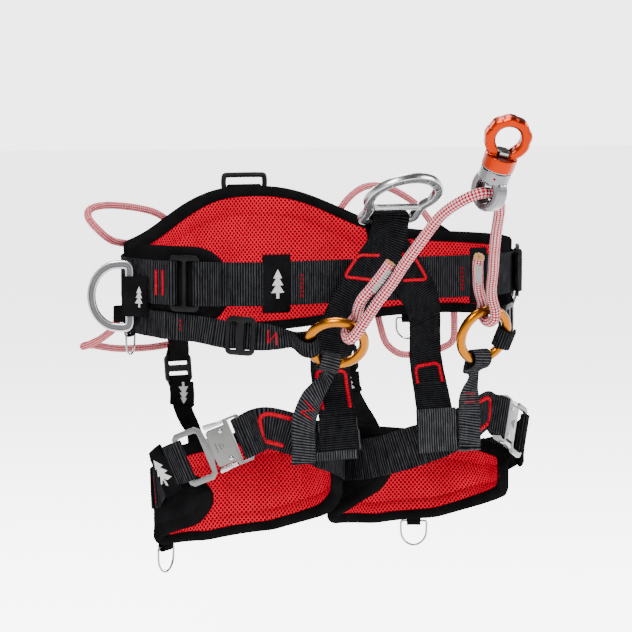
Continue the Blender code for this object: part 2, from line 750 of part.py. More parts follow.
def female_housing(tag, place, thick, tongue):
    height = 0.050
    outline = [(-0.036, -0.022), (-0.033, -0.025), (-0.018, -0.025), (-0.018, -0.0195),
               (0.001, -0.0195), (0.003, -0.0175), (0.003, 0.0175), (0.001, 0.0195),
               (-0.018, 0.0195), (-0.018, 0.025), (-0.033, 0.025), (-0.036, 0.022)]
    slot = shifted(rounded_box(0.0090, height - 0.0035, 0.001, 2), -0.0270)
    body = plate(f"leg_buckle_female_{tag}", outline, [slot], 0.009, place, GUN)
    room = thick + 2 * GAP
    half = tongue + 2 * GAP
    rings = []
    for x in (-0.0155, 0.02):
        rings.append([place @ Vector((x, y, z)) for y, z in
                      ((-half, -room / 2), (half, -room / 2), (half, room / 2), (-half, room / 2))])
    cut(body, loft(f"leg_buckle_pocket_{tag}", rings, GUN))


def lever(name, place, way):
    """A release lever beside the housing, turning on a pin across the buckle near its rear end."""
    outline = [(-0.0170, 0.0213 * way), (0.0015, 0.0213 * way), (0.0035, 0.0232 * way),
               (0.0035, 0.0262 * way), (-0.0030, 0.0262 * way), (-0.0100, 0.0252 * way),
               (-0.0170, 0.0252 * way)]
    pivot = place @ Vector((-0.0155, 0.0232 * way, 0))
    plate(name, outline, [], 0.006, place, STEEL, origin=pivot)


def leg_straps():
    """Webbing from the inner front of each leg pad to the female buckle, and its outer tail."""
    for tag, side in SIDES:
        middle, ahead, face = buckle_frame(side)
        rows = []
        for angle, z in ((186, -0.205), (202, -0.200), (218, -0.193), (233, -0.184)):
            point, out = leg(angle, LEG_HALF + GAP + WEB / 2 + 0.0005, z, side)
            rows.append((point, out))
        for point in ((0.0760, -0.1285, -0.1725), (0.1040, -0.1365, -0.1590)):
            p = mirrored(point, side)
            out = p - np.array([side * LEG_X, LEG_Y, p[2]])
            rows.append((p, out))
        bar = middle - ahead * 0.03375
        rows += loop_end(bar, ahead, -face, 0.0059 + WEB / 2, 0.016, entry=0.022)
        strap(f"leg_strap_{tag}", flip_inside(rows, lambda p, s=side: p - [s * LEG_X, LEG_Y, 0]), 0.043,
              steps=3)
        bar = middle + ahead * 0.03575
        rows = reverse(loop_end(bar, -ahead, -face, 0.0035 + WEB / 2, 0.016))
        rows += [(mirrored((0.2205, -0.0712, -0.1895), side), (side * 0.7, -0.7, 0)),
                 (mirrored((0.2255, -0.0550, -0.2010), side), (side * 0.95, -0.3, 0)),
                 (mirrored((0.2195, -0.0380, -0.2110), side), (side * 0.98, -0.1, 0))]
        for angle, z in ((5, -0.2175), (13, -0.2220), (22, -0.2250)):
            point, out = leg(angle, LEG_HALF + GAP + WEB / 2 + 0.0005, z, side)
            rows.append((point, out))
        strap(f"leg_tail_strap_{tag}", flip_inside(rows, lambda p, s=side: p - [s * LEG_X, LEG_Y, 0]), 0.043,
              steps=3)


def risers():
    """Webbing from each gold ring down over the front of the leg strap."""
    for tag, side in SIDES:
        toward = mirrored((0.0900, -0.1480, -0.1250), side)
        front = np.array([0.0, -1.0, 0.0])
        rows = [(mirrored((0.1030, -0.1420, -0.1870), side), front),
                (mirrored((0.1030, -0.1422, -0.1660), side), front),
                (mirrored((0.1020, -0.1415, -0.1390), side), front)]
        rows += ring_wrap(tag, toward, -front, 0.026)
        strap(f"riser_{tag}", flip_inside(rows, lambda p: np.array([0, -1, 0])), NARROW)


def leg_rings():
    wire = 0.0020
    for tag, side in SIDES:
        angle = 60
        low, _ = leg_heights(angle)
        off = LEG_HALF + GAP + WEB / 2
        top, out = leg(angle, off + 0.0037, low - 0.0070, side)
        hanging_d(f"leg_ring_{tag}", top, out, 0.0145, 0.0275, wire)
        wrap = wire + PLAY + WEB / 2
        rows = [leg(angle, off, low + 0.026, side), leg(angle, off, low + 0.008, side)]
        rows += loop_end(top, (0, 0, -1), -out, wrap, 0.0)
        rows += [(leg(angle, off + 0.0062, low + 0.004, side)[0], -out),
                 (leg(angle, off + 0.0034, low + 0.020, side)[0], -out)]
        strap(f"leg_ring_tab_{tag}", flip_inside(rows, lambda p, s=side: p - [s * LEG_X, LEG_Y, 0]),
              0.016, BLACK)


def rear_straps():
    """Rear suspension: webbing from the belt pad to a plastic buckle, and from it to the leg pad."""
    for tag, side in SIDES:
        angle = side * 29.5
        top, out = waist(angle, BELT_OFF + 0.0005, -0.045)
        lower, away = leg(84, LEG_HALF + GAP + WEB / 2 + 0.0008, -0.215, side)
        middle = mirrored((0.1090, 0.1340, -0.1130), side)
        down = unit(mirrored((0.004, -0.16, -1.0), side))
        face = unit(mirrored((0.12, 1.0, -0.16), side))
        start = middle - down * 0.0133
        end = middle + down * 0.0133
        wrap = 0.0029 + 0.0004 + WEB / 2
        rows = [(top, out), (waist(angle, BELT_OFF + 0.0035, -0.064)[0], out)]
        rows += loop_end(start, down, -face, wrap, 0.014, entry=0.016)
        strap(f"rear_strap_upper_{tag}", flip_inside(rows, waist_outward), 0.025)
        rows = reverse(loop_end(end, -down, -face, wrap, 0.016, entry=0.018))
        rows += [(mirrored((0.111, 0.1180, -0.158), side), face),
                 (mirrored((0.112, 0.0860, -0.187), side), (0, 0.8, 0.6)), (lower, away),
                 (leg(84, LEG_HALF + GAP + WEB / 2 + 0.0008, -0.238, side)[0], away)]
        strap(f"rear_strap_lower_{tag}", flip_inside(rows, waist_outward), 0.025)
        place = frame(middle, down, face)
        holes = [shifted(rounded_box(0.0075, 0.0265, 0.0015, 2), dx) for dx in (-0.0075, 0.0075)]
        plate(f"rear_buckle_{tag}", rounded_box(0.0308, 0.0345, 0.005), holes, 0.004, place, PLASTIC)


def build():
    clear_scene()
    back_pad()
    waist_belt()
    side_ds()
    back_loop()
    gear_loops()
    belt_rings()
    bridge_rings()
    bridge_straps()
    bridge_rope()
    swivel()
    chest_d()
    chest_webbing()
    leg_pads()
    leg_buckles()
    leg_straps()
    risers()
    leg_rings()
    rear_straps()


build()
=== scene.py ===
"""Tree climbing saddle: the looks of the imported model, piece by piece round its frame."""

import json
import math

import bmesh
import bpy
import numpy as np
from mathutils import Matrix, Vector


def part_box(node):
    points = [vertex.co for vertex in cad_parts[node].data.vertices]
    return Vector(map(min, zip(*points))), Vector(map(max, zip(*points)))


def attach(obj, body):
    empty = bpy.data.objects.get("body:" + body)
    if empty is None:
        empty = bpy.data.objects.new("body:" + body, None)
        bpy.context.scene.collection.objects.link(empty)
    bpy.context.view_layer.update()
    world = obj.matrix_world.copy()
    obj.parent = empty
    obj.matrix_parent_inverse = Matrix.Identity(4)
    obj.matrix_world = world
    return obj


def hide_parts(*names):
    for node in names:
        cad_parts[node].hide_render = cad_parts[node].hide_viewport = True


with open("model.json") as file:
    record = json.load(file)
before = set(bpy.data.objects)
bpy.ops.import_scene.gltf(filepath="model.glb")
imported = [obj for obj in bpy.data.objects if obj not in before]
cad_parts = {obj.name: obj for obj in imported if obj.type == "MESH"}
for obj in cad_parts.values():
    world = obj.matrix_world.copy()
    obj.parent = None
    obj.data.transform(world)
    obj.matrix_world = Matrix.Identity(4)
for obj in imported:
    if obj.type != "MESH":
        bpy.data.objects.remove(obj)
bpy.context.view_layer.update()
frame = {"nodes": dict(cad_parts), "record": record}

RECORD = frame["record"]
BODY = {n: b for b, nodes in RECORD["behaviour"]["bodies"].items() for n in nodes}
SLOT = {part["node"]: part["material_slot"] for part in RECORD["subparts"]}
JOINT = {joint["name"]: joint for joint in RECORD["behaviour"]["joints"]}
SIDES = (("l", 1), ("r", -1))

WEB = 0.0025  # thickness of all webbing
BINDING = 0.0095  # how far the pads' edge binding reaches in from the edge
LEG_CENTRE = {"l": np.array([0.108, -0.03, 0.0]), "r": np.array([-0.108, -0.03, 0.0])}
FRONT = np.array([0.0, -1.0, 0.0])

# Camera: azimuth and elevation in degrees, distance and aim in metres, focal length in mm
CAMERA_TURN = -30.0
CAMERA_RISE = 5.0
CAMERA_AWAY = 2.6
AIM_RIGHT = -0.0055
AIM_UP = -0.0484
FOCAL = 134.6
WAIST_X = 0.219
WAIST_Y = 0.163
FLOOR_Z = -0.62
HORIZON = 4.2
FLOOR_GLOW = 3.1


def unit(v):
    v = np.asarray(v, float)
    return v / np.linalg.norm(v)


# ---------------------------------------------------------------- reading the frame


def welded(node):
    work = bmesh.new()
    work.from_mesh(frame["nodes"][node].data)
    bmesh.ops.remove_doubles(work, verts=work.verts, dist=1e-7)
    return work


def flat_groups(work):
    """The point sets of the mesh's flat faces, each perhaps several triangles."""
    seen = set()
    for first in work.faces:
        if first in seen:
            continue
        seen.add(first)
        todo = [first]
        points = set()
        while todo:
            face = todo.pop()
            points.update(face.verts)
            for edge in face.edges:
                for other in edge.link_faces:
                    if other not in seen and other.normal.dot(first.normal) > 0.9999995:
                        seen.add(other)
                        todo.append(other)
        yield points


def in_turn(points):
    """The points of a flat convex ring in order round its middle."""
    points = list(points)
    places = np.array([v.co for v in points])
    centre = places.mean(axis=0)
    _, _, axes = np.linalg.svd(places - centre)
    flat = (places - centre) @ axes[:2].T
    return [points[k] for k in np.argsort(np.arctan2(flat[:, 1], flat[:, 0]))]


def walked(start, total):
    """Rings of points counted off from an end face in the same order, or None if it is no end."""
    rings = [start]
    seen = set(start)
    while len(seen) < total:
        near = {e.other_vert(v) for v in rings[-1] for e in v.link_edges} - seen
        if not len(start) - 1 <= len(near) <= len(start) + 2:
            return None
        following = []
        for point in rings[-1]:
            left = [v for v in near if v not in following] or [point]
            following.append(min(left, key=lambda v: (v.co - point.co).length))
        seen.update(following)
        rings.append(following)
    return rings


def rings_of(node):
    """A lofted CAD node's rings of points, from end to end, each in the same order."""
    work = welded(node)
    total = len(work.verts)
    rings = None
    for group in flat_groups(work):
        if len(group) > 3:
            rings = walked(in_turn(group), total)
        if rings and len(rings) > 4:
            break
    if not rings:
        raise ValueError(f"{node} is no plain loft")
    places = np.array([[v.co for v in ring] for ring in rings])
    work.free()
    return places


def smooth(rows, steps):
    """Catmull-Rom through rows of numbers, each span cut into steps."""
    rows = np.asarray(rows, float)
    padded = np.vstack([2 * rows[0] - rows[1], rows, 2 * rows[-1] - rows[-2]])
    out = []
    for i in range(1, len(padded) - 2):
        a, b, c, d = padded[i - 1 : i + 3]
        for k in range(steps):
            t = k / steps
            out.append(0.5 * (2 * b + (c - a) * t + (2 * a - 5 * b + 4 * c - d) * t * t
                              + (3 * b - a - 3 * c + d) * t ** 3))
    out.append(rows[-1])
    return np.array(out)


def distances(points):
    steps = np.linalg.norm(np.diff(points, axis=0), axis=1)
    return np.concatenate([[0], np.cumsum(steps)])


def evenly(rows, step, columns=3):
    """Rows at even distances along their first columns."""
    along = distances(rows[:, :columns])
    at = np.linspace(0, along[-1], max(3, int(round(along[-1] / step)) + 1))
    return np.stack([np.interp(at, along, rows[:, k]) for k in range(rows.shape[1])], axis=1)


class Band:
    """A webbing read back from its CAD node: middle line, width direction, face and half width."""

    def __init__(self, node, step=0.0022, rows=None):
        self.node = node
        if rows is None:
            rings = rings_of(node)
            if np.linalg.norm(rings[0][1] - rings[0][0]) < np.linalg.norm(rings[0][2] - rings[0][1]):
                rings = rings[:, [1, 2, 3, 0]]
            across = (rings[:, 1] - rings[:, 0] + rings[:, 2] - rings[:, 3]) / 2
            rise = (rings[:, 3] - rings[:, 0] + rings[:, 2] - rings[:, 1]) / 2
            half = np.linalg.norm(across, axis=1, keepdims=True) / 2
            rows = np.hstack([rings.mean(axis=1), across / half / 2, rise / WEB, half])
        self.rows = evenly(smooth(rows, 3), step)
        self.s = distances(self.rows[:, :3])
        self.length = self.s[-1]

    def at(self, s, t=0.0, lift=0.0):
        """The point s along, t half-widths across and lifted along the face, and the face."""
        row = [np.interp(s, self.s, self.rows[:, k]) for k in range(10)]
        face = unit(row[6:9])
        return np.array(row[:3]) + unit(row[3:6]) * row[9] * t + face * lift, face

    def half(self, s):
        return float(np.interp(s, self.s, self.rows[:, 9]))

    def near(self, point, low=0.0, high=1.0):
        """How far along the point of this band nearest to a given one is."""
        gaps = np.linalg.norm(self.rows[:, :3] - np.asarray(point, float), axis=1)
        share = self.s / self.length
        gaps[(share < low) | (share > high)] = 9.0
        return float(self.s[int(np.argmin(gaps))])

    def sign(self, s, outward):
        return 1.0 if np.dot(self.at(s)[1], outward) > 0 else -1.0


# ---------------------------------------------------------------- mesh helpers


def skin(rings, closed=False, caps=True, around=True):
    """Points, faces and UVs of a skin over rings; u is metres round the ring, v metres along."""
    rings = np.asarray(rings, float)
    n, k = rings.shape[:2]
    along = distances(rings.mean(axis=1))
    if closed:
        along = np.append(along, along[-1] + np.linalg.norm(rings[0].mean(0) - rings[-1].mean(0)))
    middle = rings[n // 2]
    turn = distances(np.vstack([middle, middle[:1]]))
    faces, uvs = [], []
    for i in range(n if closed else n - 1):
        j = (i + 1) % n
        for a in range(k if around else k - 1):
            b = (a + 1) % k
            faces.append((i * k + a, j * k + a, j * k + b, i * k + b))
            uvs.append([(turn[a], along[i]), (turn[a], along[i + 1]),
                        (turn[a + 1], along[i + 1]), (turn[a + 1], along[i])])
    if caps and not closed:
        for start, order, v in ((0, range(k), 0.0), ((n - 1) * k, range(k - 1, -1, -1), along[-1])):
            faces.append(tuple(start + a for a in order))
            uvs.append([(turn[a], v) for a in order])
    return rings.reshape(-1, 3), faces, uvs


def merged(parts):
    """Several (points, faces, uvs) as one."""
    points, faces, uvs = [], [], []
    for p, f, u in parts:
        start = len(points)
        points.extend(p)
        faces.extend(tuple(i + start for i in face) for face in f)
        uvs.extend(u)
    return points, faces, uvs


def make(name, data, finish, sharp=50, finish_of=None):
    """An object from (points, faces, uvs); finish_of gives a face's material number."""
    points, faces, uvs = data
    mesh = bpy.data.meshes.new(name)
    mesh.from_pydata([tuple(p) for p in points], [], faces)
    layer = mesh.uv_layers.new(name="UVMap")
    layer.data.foreach_set("uv", [c for face in uvs for uv in face for c in uv])
    for item in finish if isinstance(finish, (list, tuple)) else [finish]:
        mesh.materials.append(item)
    if finish_of is not None:
        mesh.polygons.foreach_set("material_index", [finish_of(i) for i in range(len(faces))])
    work = bmesh.new()
    work.from_mesh(mesh)
    bmesh.ops.recalc_face_normals(work, faces=work.faces)
    work.to_mesh(mesh)
    work.free()
    mesh.shade_smooth()
    mesh.set_sharp_from_angle(angle=math.radians(sharp))
    item = bpy.data.objects.new(name, mesh)
    bpy.context.scene.collection.objects.link(item)
    return item


def settle(item, body, slot, *nodes):
    """The piece rides on a body and stands for these nodes, which it hides; slot is not used."""
    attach(item, body)
    if nodes:
        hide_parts(*nodes)
    return item


def stand_in(item, *nodes):
    return settle(item, BODY[nodes[0]], SLOT[nodes[0]], *nodes)


def frame_at(origin, along, face):
    """A matrix whose local x runs along, whose local z is the face normal."""
    x = unit(along)
    z = unit(np.asarray(face, float) - np.dot(face, x) * x)
    made = Matrix.Identity(4)
    for column, axis in enumerate((x, np.cross(z, x), z)):
        for row in range(3):
            made[row][column] = axis[row]
    made.translation = Vector(origin)
    return made


def swept_loop(outline, section, place):
    """Rings of a closed section, (outward, across) points, swept round a closed flat outline."""
    outline = np.asarray(outline, float)
    rings = []
    for i, point in enumerate(outline):
        ahead = unit(outline[(i + 1) % len(outline)] - outline[i - 1])
        out = np.array([ahead[1], -ahead[0]])
        rings.append([place @ Vector((*(point + out * a), b)) for a, b in section])
    return rings


def round_outline(points, steps=4):
    """A closed smooth outline through a few points."""
    points = np.asarray(points, float)
    around = np.vstack([points[-2:], points, points[:3]])
    line = smooth(around, steps)[2 * steps : -2 * steps]
    return evenly(line, 0.0015, 2)[:-1]


def ellipse(a, b, count=16):
    turns = np.arange(count) * 2 * math.pi / count
    return [(a * math.cos(t), b * math.sin(t)) for t in turns]


def parallel_frames(line):
    """Two directions across each point of a line that turn with it and don't spin."""
    ahead = np.gradient(line, axis=0)
    ahead /= np.linalg.norm(ahead, axis=1, keepdims=True)
    side = unit(np.cross(ahead[0], (0.2, 0.3, 1)))
    sides = []
    for a in ahead:
        side = unit(side - np.dot(side, a) * a)
        sides.append(side)
    sides = np.array(sides)
    return sides, np.cross(ahead, sides)


def evaluated(item):
    """The item's mesh with its modifiers applied; the item goes away."""
    graph = bpy.context.evaluated_depsgraph_get()
    mesh = bpy.data.meshes.new_from_object(item.evaluated_get(graph))
    bpy.data.objects.remove(item, do_unlink=True)
    return mesh


# ---------------------------------------------------------------- materials


class Finish:
    """A node material built up round its Principled shader."""

    def __init__(self, name, colour, rough, metal=0.0, sheen=0.0, coat=0.0):
        self.item = bpy.data.materials.new(name)
        self.item.use_nodes = True
        self.tree = self.item.node_tree
        self.shader = self.tree.nodes["Principled BSDF"]
        self.put("Base Color", (*colour, 1.0))
        self.put("Roughness", rough)
        self.put("Metallic", metal)
        self.put("Sheen Weight", sheen)
        self.put("Coat Weight", coat)

    def put(self, name, value):
        self.shader.inputs[name].default_value = value

    def node(self, kind, **settings):
        made = self.tree.nodes.new(kind)
        for name, value in settings.items():
            setattr(made, name, value)
        return made

    def feed(self, socket, value):
        if isinstance(value, (int, float)):
            socket.default_value = value
        else:
            self.tree.links.new(value, socket)

    def maths(self, operation, a, b=0.0):
        made = self.node("ShaderNodeMath", operation=operation)
        self.feed(made.inputs[0], a)
        self.feed(made.inputs[1], b)
        return made.outputs[0]

    def uv(self):
        split = self.node("ShaderNodeSeparateXYZ")
        self.tree.links.new(self.node("ShaderNodeUVMap", uv_map="UVMap").outputs[0], split.inputs[0])
        return split.outputs[0], split.outputs[1]

    def noise(self, scale, detail=2.0, stretch=(1, 1, 1)):
        place = self.node("ShaderNodeTexCoord").outputs["Object"]
        mapping = self.node("ShaderNodeMapping")
        mapping.inputs["Scale"].default_value = stretch
        self.tree.links.new(place, mapping.inputs[0])
        made = self.node("ShaderNodeTexNoise")
        made.inputs["Scale"].default_value = scale
        made.inputs["Detail"].default_value = detail
        self.tree.links.new(mapping.outputs[0], made.inputs["Vector"])
        return made.outputs[0]

    def wave(self, value, pitch, phase=0.0):
        """A cosine from 0 to 1 that repeats every pitch."""
        turn = self.maths("ADD", self.maths("MULTIPLY", value, 2 * math.pi / pitch), phase)
        return self.maths("MULTIPLY", self.maths("ADD", self.maths("COSINE", turn), 1.0), 0.5)

    def ramp(self, value, low, high, to_low=0.0, to_high=1.0):
        made = self.node("ShaderNodeMapRange")
        self.feed(made.inputs["Value"], value)
        for name, number in zip(("From Min", "From Max", "To Min", "To Max"),
                                (low, high, to_low, to_high)):
            made.inputs[name].default_value = number
        return made.outputs[0]

    def colours(self, value, dark, light):
        made = self.node("ShaderNodeMix", data_type="RGBA")
        self.feed(made.inputs[0], value)
        made.inputs[6].default_value = (*dark, 1.0)
        made.inputs[7].default_value = (*light, 1.0)
        self.tree.links.new(made.outputs[2], self.shader.inputs["Base Color"])
        return made.outputs[2]

    def roughness(self, value, low, high):
        self.tree.links.new(self.ramp(value, 0.2, 0.8, low, high), self.shader.inputs["Roughness"])

    def bump(self, height, distance):
        made = self.node("ShaderNodeBump")
        made.inputs["Strength"].default_value = 1.0
        made.inputs["Distance"].default_value = distance
        self.tree.links.new(height, made.inputs["Height"])
        self.tree.links.new(made.outputs[0], self.shader.inputs["Normal"])


def ribbed_webbing(name, dark, light, pitch):
    """Cross-ribbed webbing: ribs across the width, warp threads along them. The rib crests and thread crowns
    are painted lighter as sheen, the grooves darker as painted shade.
    """
    f = Finish(name, dark, 0.72, sheen=0.0)
    f.put("Specular IOR Level", 0.0)
    u, v = f.uv()
    wobble = f.maths("MULTIPLY", f.noise(90.0, 3.0), 2.2)
    rib = f.maths("POWER", f.wave(v, pitch, wobble), 1.5)
    thread = f.wave(u, 0.0011)
    patchy = f.ramp(f.noise(260.0, 4.0, (1, 1, 0.35)), 0.3, 0.75)
    # Painted sheen on the rib crests, varied at random by the patchy cloud.
    shine = f.maths("MULTIPLY", rib, f.maths("ADD", f.maths("MULTIPLY", patchy, 0.7), 0.3))
    f.colours(f.maths("MULTIPLY", shine, f.maths("ADD", f.maths("MULTIPLY", thread, 0.3), 0.7)),
              dark, light)
    height = f.maths("ADD", rib, f.maths("MULTIPLY", thread, 0.25))
    f.bump(height, 0.00045)
    f.roughness(patchy, 0.6, 0.85)
    return f.item


def plain_weave(name, dark, light, pitch, sheen=0.0):
    """Fine plain-woven nylon."""
    f = Finish(name, dark, 0.8, sheen=sheen)
    f.put("Specular IOR Level", 0.0)
    u, v = f.uv()
    weave = f.maths("MULTIPLY", f.wave(u, pitch), f.wave(v, pitch))
    cross = f.maths("MULTIPLY", f.wave(u, pitch, math.pi), f.wave(v, pitch, math.pi))
    both = f.maths("ADD", weave, cross)
    cloud = f.ramp(f.noise(38.0, 3.0), 0.3, 0.7)
    f.colours(f.maths("MULTIPLY", both, f.maths("ADD", f.maths("MULTIPLY", cloud, 0.6), 0.3)),
              dark, light)
    f.bump(f.maths("ADD", both, f.maths("MULTIPLY", cloud, 1.2)), 0.00022)
    return f.item


def spacer_mesh(name, dark, light):
    """Knitted spacer mesh with staggered oval holes, the holes painted near black as shade."""
    f = Finish(name, light, 0.62)
    f.put("Specular IOR Level", 0.0)
    u, v = f.uv()
    a = f.maths("COSINE", f.maths("MULTIPLY", u, 2 * math.pi / 0.0050))
    b = f.maths("COSINE", f.maths("MULTIPLY", v, 2 * math.pi / 0.0056))
    hole = f.ramp(f.maths("MULTIPLY", a, b), 0.12, 0.72)
    cloud = f.ramp(f.noise(30.0, 3.0), 0.25, 0.75)
    # The holes are painted dark: painted shade inside them; the cloud varies the tone at random.
    lit = f.maths("MULTIPLY", f.maths("SUBTRACT", 1.0, f.maths("MULTIPLY", hole, 0.93)),
                  f.maths("ADD", f.maths("MULTIPLY", cloud, 0.25), 0.75))
    f.colours(lit, dark, light)
    f.bump(f.maths("SUBTRACT", 1.0, hole), 0.0009)
    f.roughness(cloud, 0.55, 0.75)
    return f.item


def braided(name, red, white, around, pitch):
    """A round braid whose strands cross in red and white checks; u is metres round it."""
    f = Finish(name, white, 0.75)
    f.put("Specular IOR Level", 0.0)
    u, v = f.uv()
    across = f.maths("MULTIPLY", u, math.pi * 2 / around)
    down = f.maths("MULTIPLY", v, math.pi * 2 / pitch)
    one = f.maths("SINE", f.maths("ADD", across, down))
    two = f.maths("SINE", f.maths("SUBTRACT", across, down))
    check = f.maths("MULTIPLY", one, two)
    f.colours(f.ramp(check, -0.02, 0.22), red, white)
    f.bump(f.maths("ABSOLUTE", check), 0.0006)
    return f.item


def satin_thread(name, dark, light):
    """Close satin stitches across the bar; v runs along it."""
    f = Finish(name, light, 0.6)
    f.put("Specular IOR Level", 0.0)
    _, v = f.uv()
    f.colours(f.wave(v, 0.0009), dark, light)
    f.bump(f.wave(v, 0.0009), 0.0003)
    return f.item


def metal(name, colour, rough, spread=0.08, stretch=(1, 1, 1), coat=0.0):
    """Machined or anodised alloy with faint uneven polish and handling marks."""
    f = Finish(name, colour, rough, metal=1.0, coat=coat)
    cloud = f.noise(55.0, 4.0, stretch)
    f.roughness(cloud, max(0.05, rough - spread), rough + spread)
    fine = f.noise(900.0, 2.0, stretch)
    f.bump(fine, 0.00003)
    darker = tuple(c * 0.86 for c in colour)
    f.colours(f.ramp(cloud, 0.3, 0.7), darker, colour)
    return f.item


def moulded(name, colour, rough):
    """Moulded or coated black parts with a fine grain."""
    f = Finish(name, colour, rough)
    f.put("Specular IOR Level", 0.04)
    grain = f.noise(1400.0, 3.0)
    cloud = f.noise(60.0, 3.0)
    f.roughness(cloud, rough - 0.08, rough + 0.1)
    f.bump(grain, 0.00006)
    lighter = tuple(c * 1.8 + 0.001 for c in colour)
    f.colours(f.ramp(cloud, 0.35, 0.8), colour, lighter)
    return f.item


# For the ribbed webbings, light colours the rib crests as painted sheen and dark colours the grooves as
# painted shade.
BELT_WEB = ribbed_webbing("belt_webbing", (0.0006, 0.0006, 0.0007), (0.022, 0.0225, 0.0245), 0.0027)
TWILL_WEB = ribbed_webbing("chest_webbing_twill", (0.0006, 0.0006, 0.0007), (0.0105, 0.0108, 0.0115), 0.0023)
LIGHT_WEB = ribbed_webbing("folded_webbing", (0.0010, 0.0010, 0.0011), (0.036, 0.037, 0.040), 0.0029)
NYLON = plain_weave("black_nylon", (0.0008, 0.0008, 0.0009), (0.0050, 0.0050, 0.0054), 0.0009)
BIND = plain_weave("edge_binding", (0.0008, 0.0008, 0.0009), (0.0040, 0.0040, 0.0042), 0.0013)
SHELL = plain_weave("pad_shell", (0.0010, 0.0010, 0.0011), (0.0050, 0.0050, 0.0055), 0.0016)
# The mesh's dark colour is the painted shade in its holes.
MESH = spacer_mesh("red_spacer_mesh", (0.0030, 0.0, 0.0002), (0.230, 0.0, 0.0075))
TACK = satin_thread("red_bartack", (0.06, 0.0, 0.0015), (0.25, 0.0, 0.0080))
WHITE_THREAD = satin_thread("white_thread", (0.13, 0.125, 0.12), (0.23, 0.225, 0.22))
LABEL = satin_thread("label_thread", (0.17, 0.17, 0.17), (0.26, 0.26, 0.26))
ROPE = braided("bridge_braid", (0.15, 0.0, 0.0090), (0.245, 0.205, 0.20), 0.00691, 0.0062)
CORD = braided("tool_cord_braid", (0.17, 0.002, 0.012), (0.235, 0.145, 0.145), 0.00503, 0.0046)
ROPE_END = plain_weave("rope_end", (0.12, 0.060, 0.020), (0.20, 0.115, 0.045), 0.0010)
ALLOY = metal("polished_alloy_face", (0.20, 0.20, 0.205), 0.26, 0.08)
# Darker, rougher alloy: its dark colour is painted shade in the D rings' channels, and the own colour of the
# buckles' raised marks.
DARK_ALLOY_AND_PAINTED_SHADE = metal("dark_marks_and_painted_recess_shade", (0.055, 0.055, 0.058), 0.45, 0.12)
BUCKLE = metal("buckle_alloy", (0.070, 0.070, 0.069), 0.32, 0.10)
STEEL_WIRE = metal("steel_wire", (0.13, 0.13, 0.127), 0.2, 0.06)
GUNMETAL = metal("swivel_alloy", (0.085, 0.085, 0.09), 0.24, 0.08)
GOLD = metal("gold_anodised_face", (0.165, 0.052, 0.0), 0.26, 0.06)
ORANGE = metal("orange_anodised_face", (0.17, 0.0095, 0.0), 0.30, 0.06)
BLACK_METAL = moulded("black_oxide", (0.0015, 0.0015, 0.0017), 0.32)
PLASTIC = moulded("black_moulding", (0.0015, 0.0015, 0.0017), 0.45)


# ---------------------------------------------------------------- webbing


SECTION = ((-1.0, 0.30), (-0.975, 0.86), (-0.92, 1.0), (-0.82, 0.90), (-0.4, 0.90), (0.0, 0.92),
           (0.4, 0.90), (0.82, 0.90), (0.92, 1.0), (0.975, 0.86), (1.0, 0.30))


def webbing_data(band, low=0.0, high=None, lift=0.0, widen=1.0, thick=WEB):
    """The woven strap along a stretch of a band, with its thicker selvedges."""
    high = band.length if high is None else high
    stations = np.linspace(low, high, max(4, int(round((high - low) / 0.0022)) + 1))
    loop = [(t, h) for t, h in SECTION] + [(t, -h) for t, h in reversed(SECTION)]
    rings = []
    for s in stations:
        ripple = 0.00018 * math.sin(s * 310.0) + 0.00012 * math.sin(s * 97.0 + 1.3)
        ring = []
        for t, h in loop:
            edge = ripple * abs(t) ** 3
            ring.append(band.at(s, t * widen, lift + h * thick / 2 + edge)[0])
        rings.append(ring)
    points, faces, _ = skin(rings)
    k = len(loop)
    half = band.half((low + high) / 2) * widen
    uvs = []
    for face in faces:
        uvs.append([(loop[i % k][0] * half, stations[i // k]) for i in face])
    return points, faces, uvs


def webbing(node, finish, sharp=60):
    band = Band(node)
    stand_in(make(f"{node}_webbing", webbing_data(band), finish, sharp), node)
    return band


def on_band(band, corners, step=0.0006, bend=0.004):
    """Even points along (s, t) corners on a band, its corners rounded; t is in metres."""
    corners = np.asarray(corners, float)
    line = [corners[0]]
    for before, corner, after in zip(corners, corners[1:], corners[2:]):
        for k in range(7):
            w = k / 6
            reach_in = min(bend, np.linalg.norm(corner - before) / 2)
            reach_out = min(bend, np.linalg.norm(after - corner) / 2)
            a = corner + unit(before - corner) * reach_in
            b = corner + unit(after - corner) * reach_out
            line.append((1 - w) ** 2 * a + 2 * w * (1 - w) * corner + w * w * b)
    line.append(corners[-1])
    return evenly(np.array(line), step, 2)


def raised_bar(band, corners, outward, width, height, lift=0.0, bend=0.004):
    """A half-round ridge along a path on the band's outer face."""
    path = on_band(band, corners, bend=bend)
    middle = path[len(path) // 2]
    sign = band.sign(middle[0], outward)
    spots = [band.at(s, t / band.half(s), sign * (WEB / 2 * 0.9 + lift)) for s, t in path]
    points = np.array([p for p, _ in spots])
    ahead = np.gradient(points, axis=0)
    rings = []
    for i, (point, face) in enumerate(spots):
        side = unit(np.cross(face, ahead[i]))
        end = min(1.0, (min(i, len(spots) - 1 - i) + 0.6) / 2.5)
        ripple = 1.0 + 0.10 * math.cos(i * math.pi)
        ring = [point - side * width / 2 * end - face * sign * 0.0004]
        for degrees in (170, 130, 90, 50, 10):
            a = math.radians(degrees)
            ring.append(point + side * math.cos(a) * width / 2 * end * ripple
                        + face * sign * math.sin(a) * height * ripple * math.sqrt(end))
        ring.append(point + side * width / 2 * end - face * sign * 0.0004)
        rings.append(ring)
    return skin(rings)


def tack(name, band, corners, outward, width=0.0036, height=0.0011, lift=0.0, bend=0.004,
         finish=None):
    """A satin-stitched bar sewn on a band."""
    data = raised_bar(band, corners, outward, width, height, lift, bend)
    return settle(make(name, data, finish or TACK, 70), BODY[band.node], SLOT[band.node])


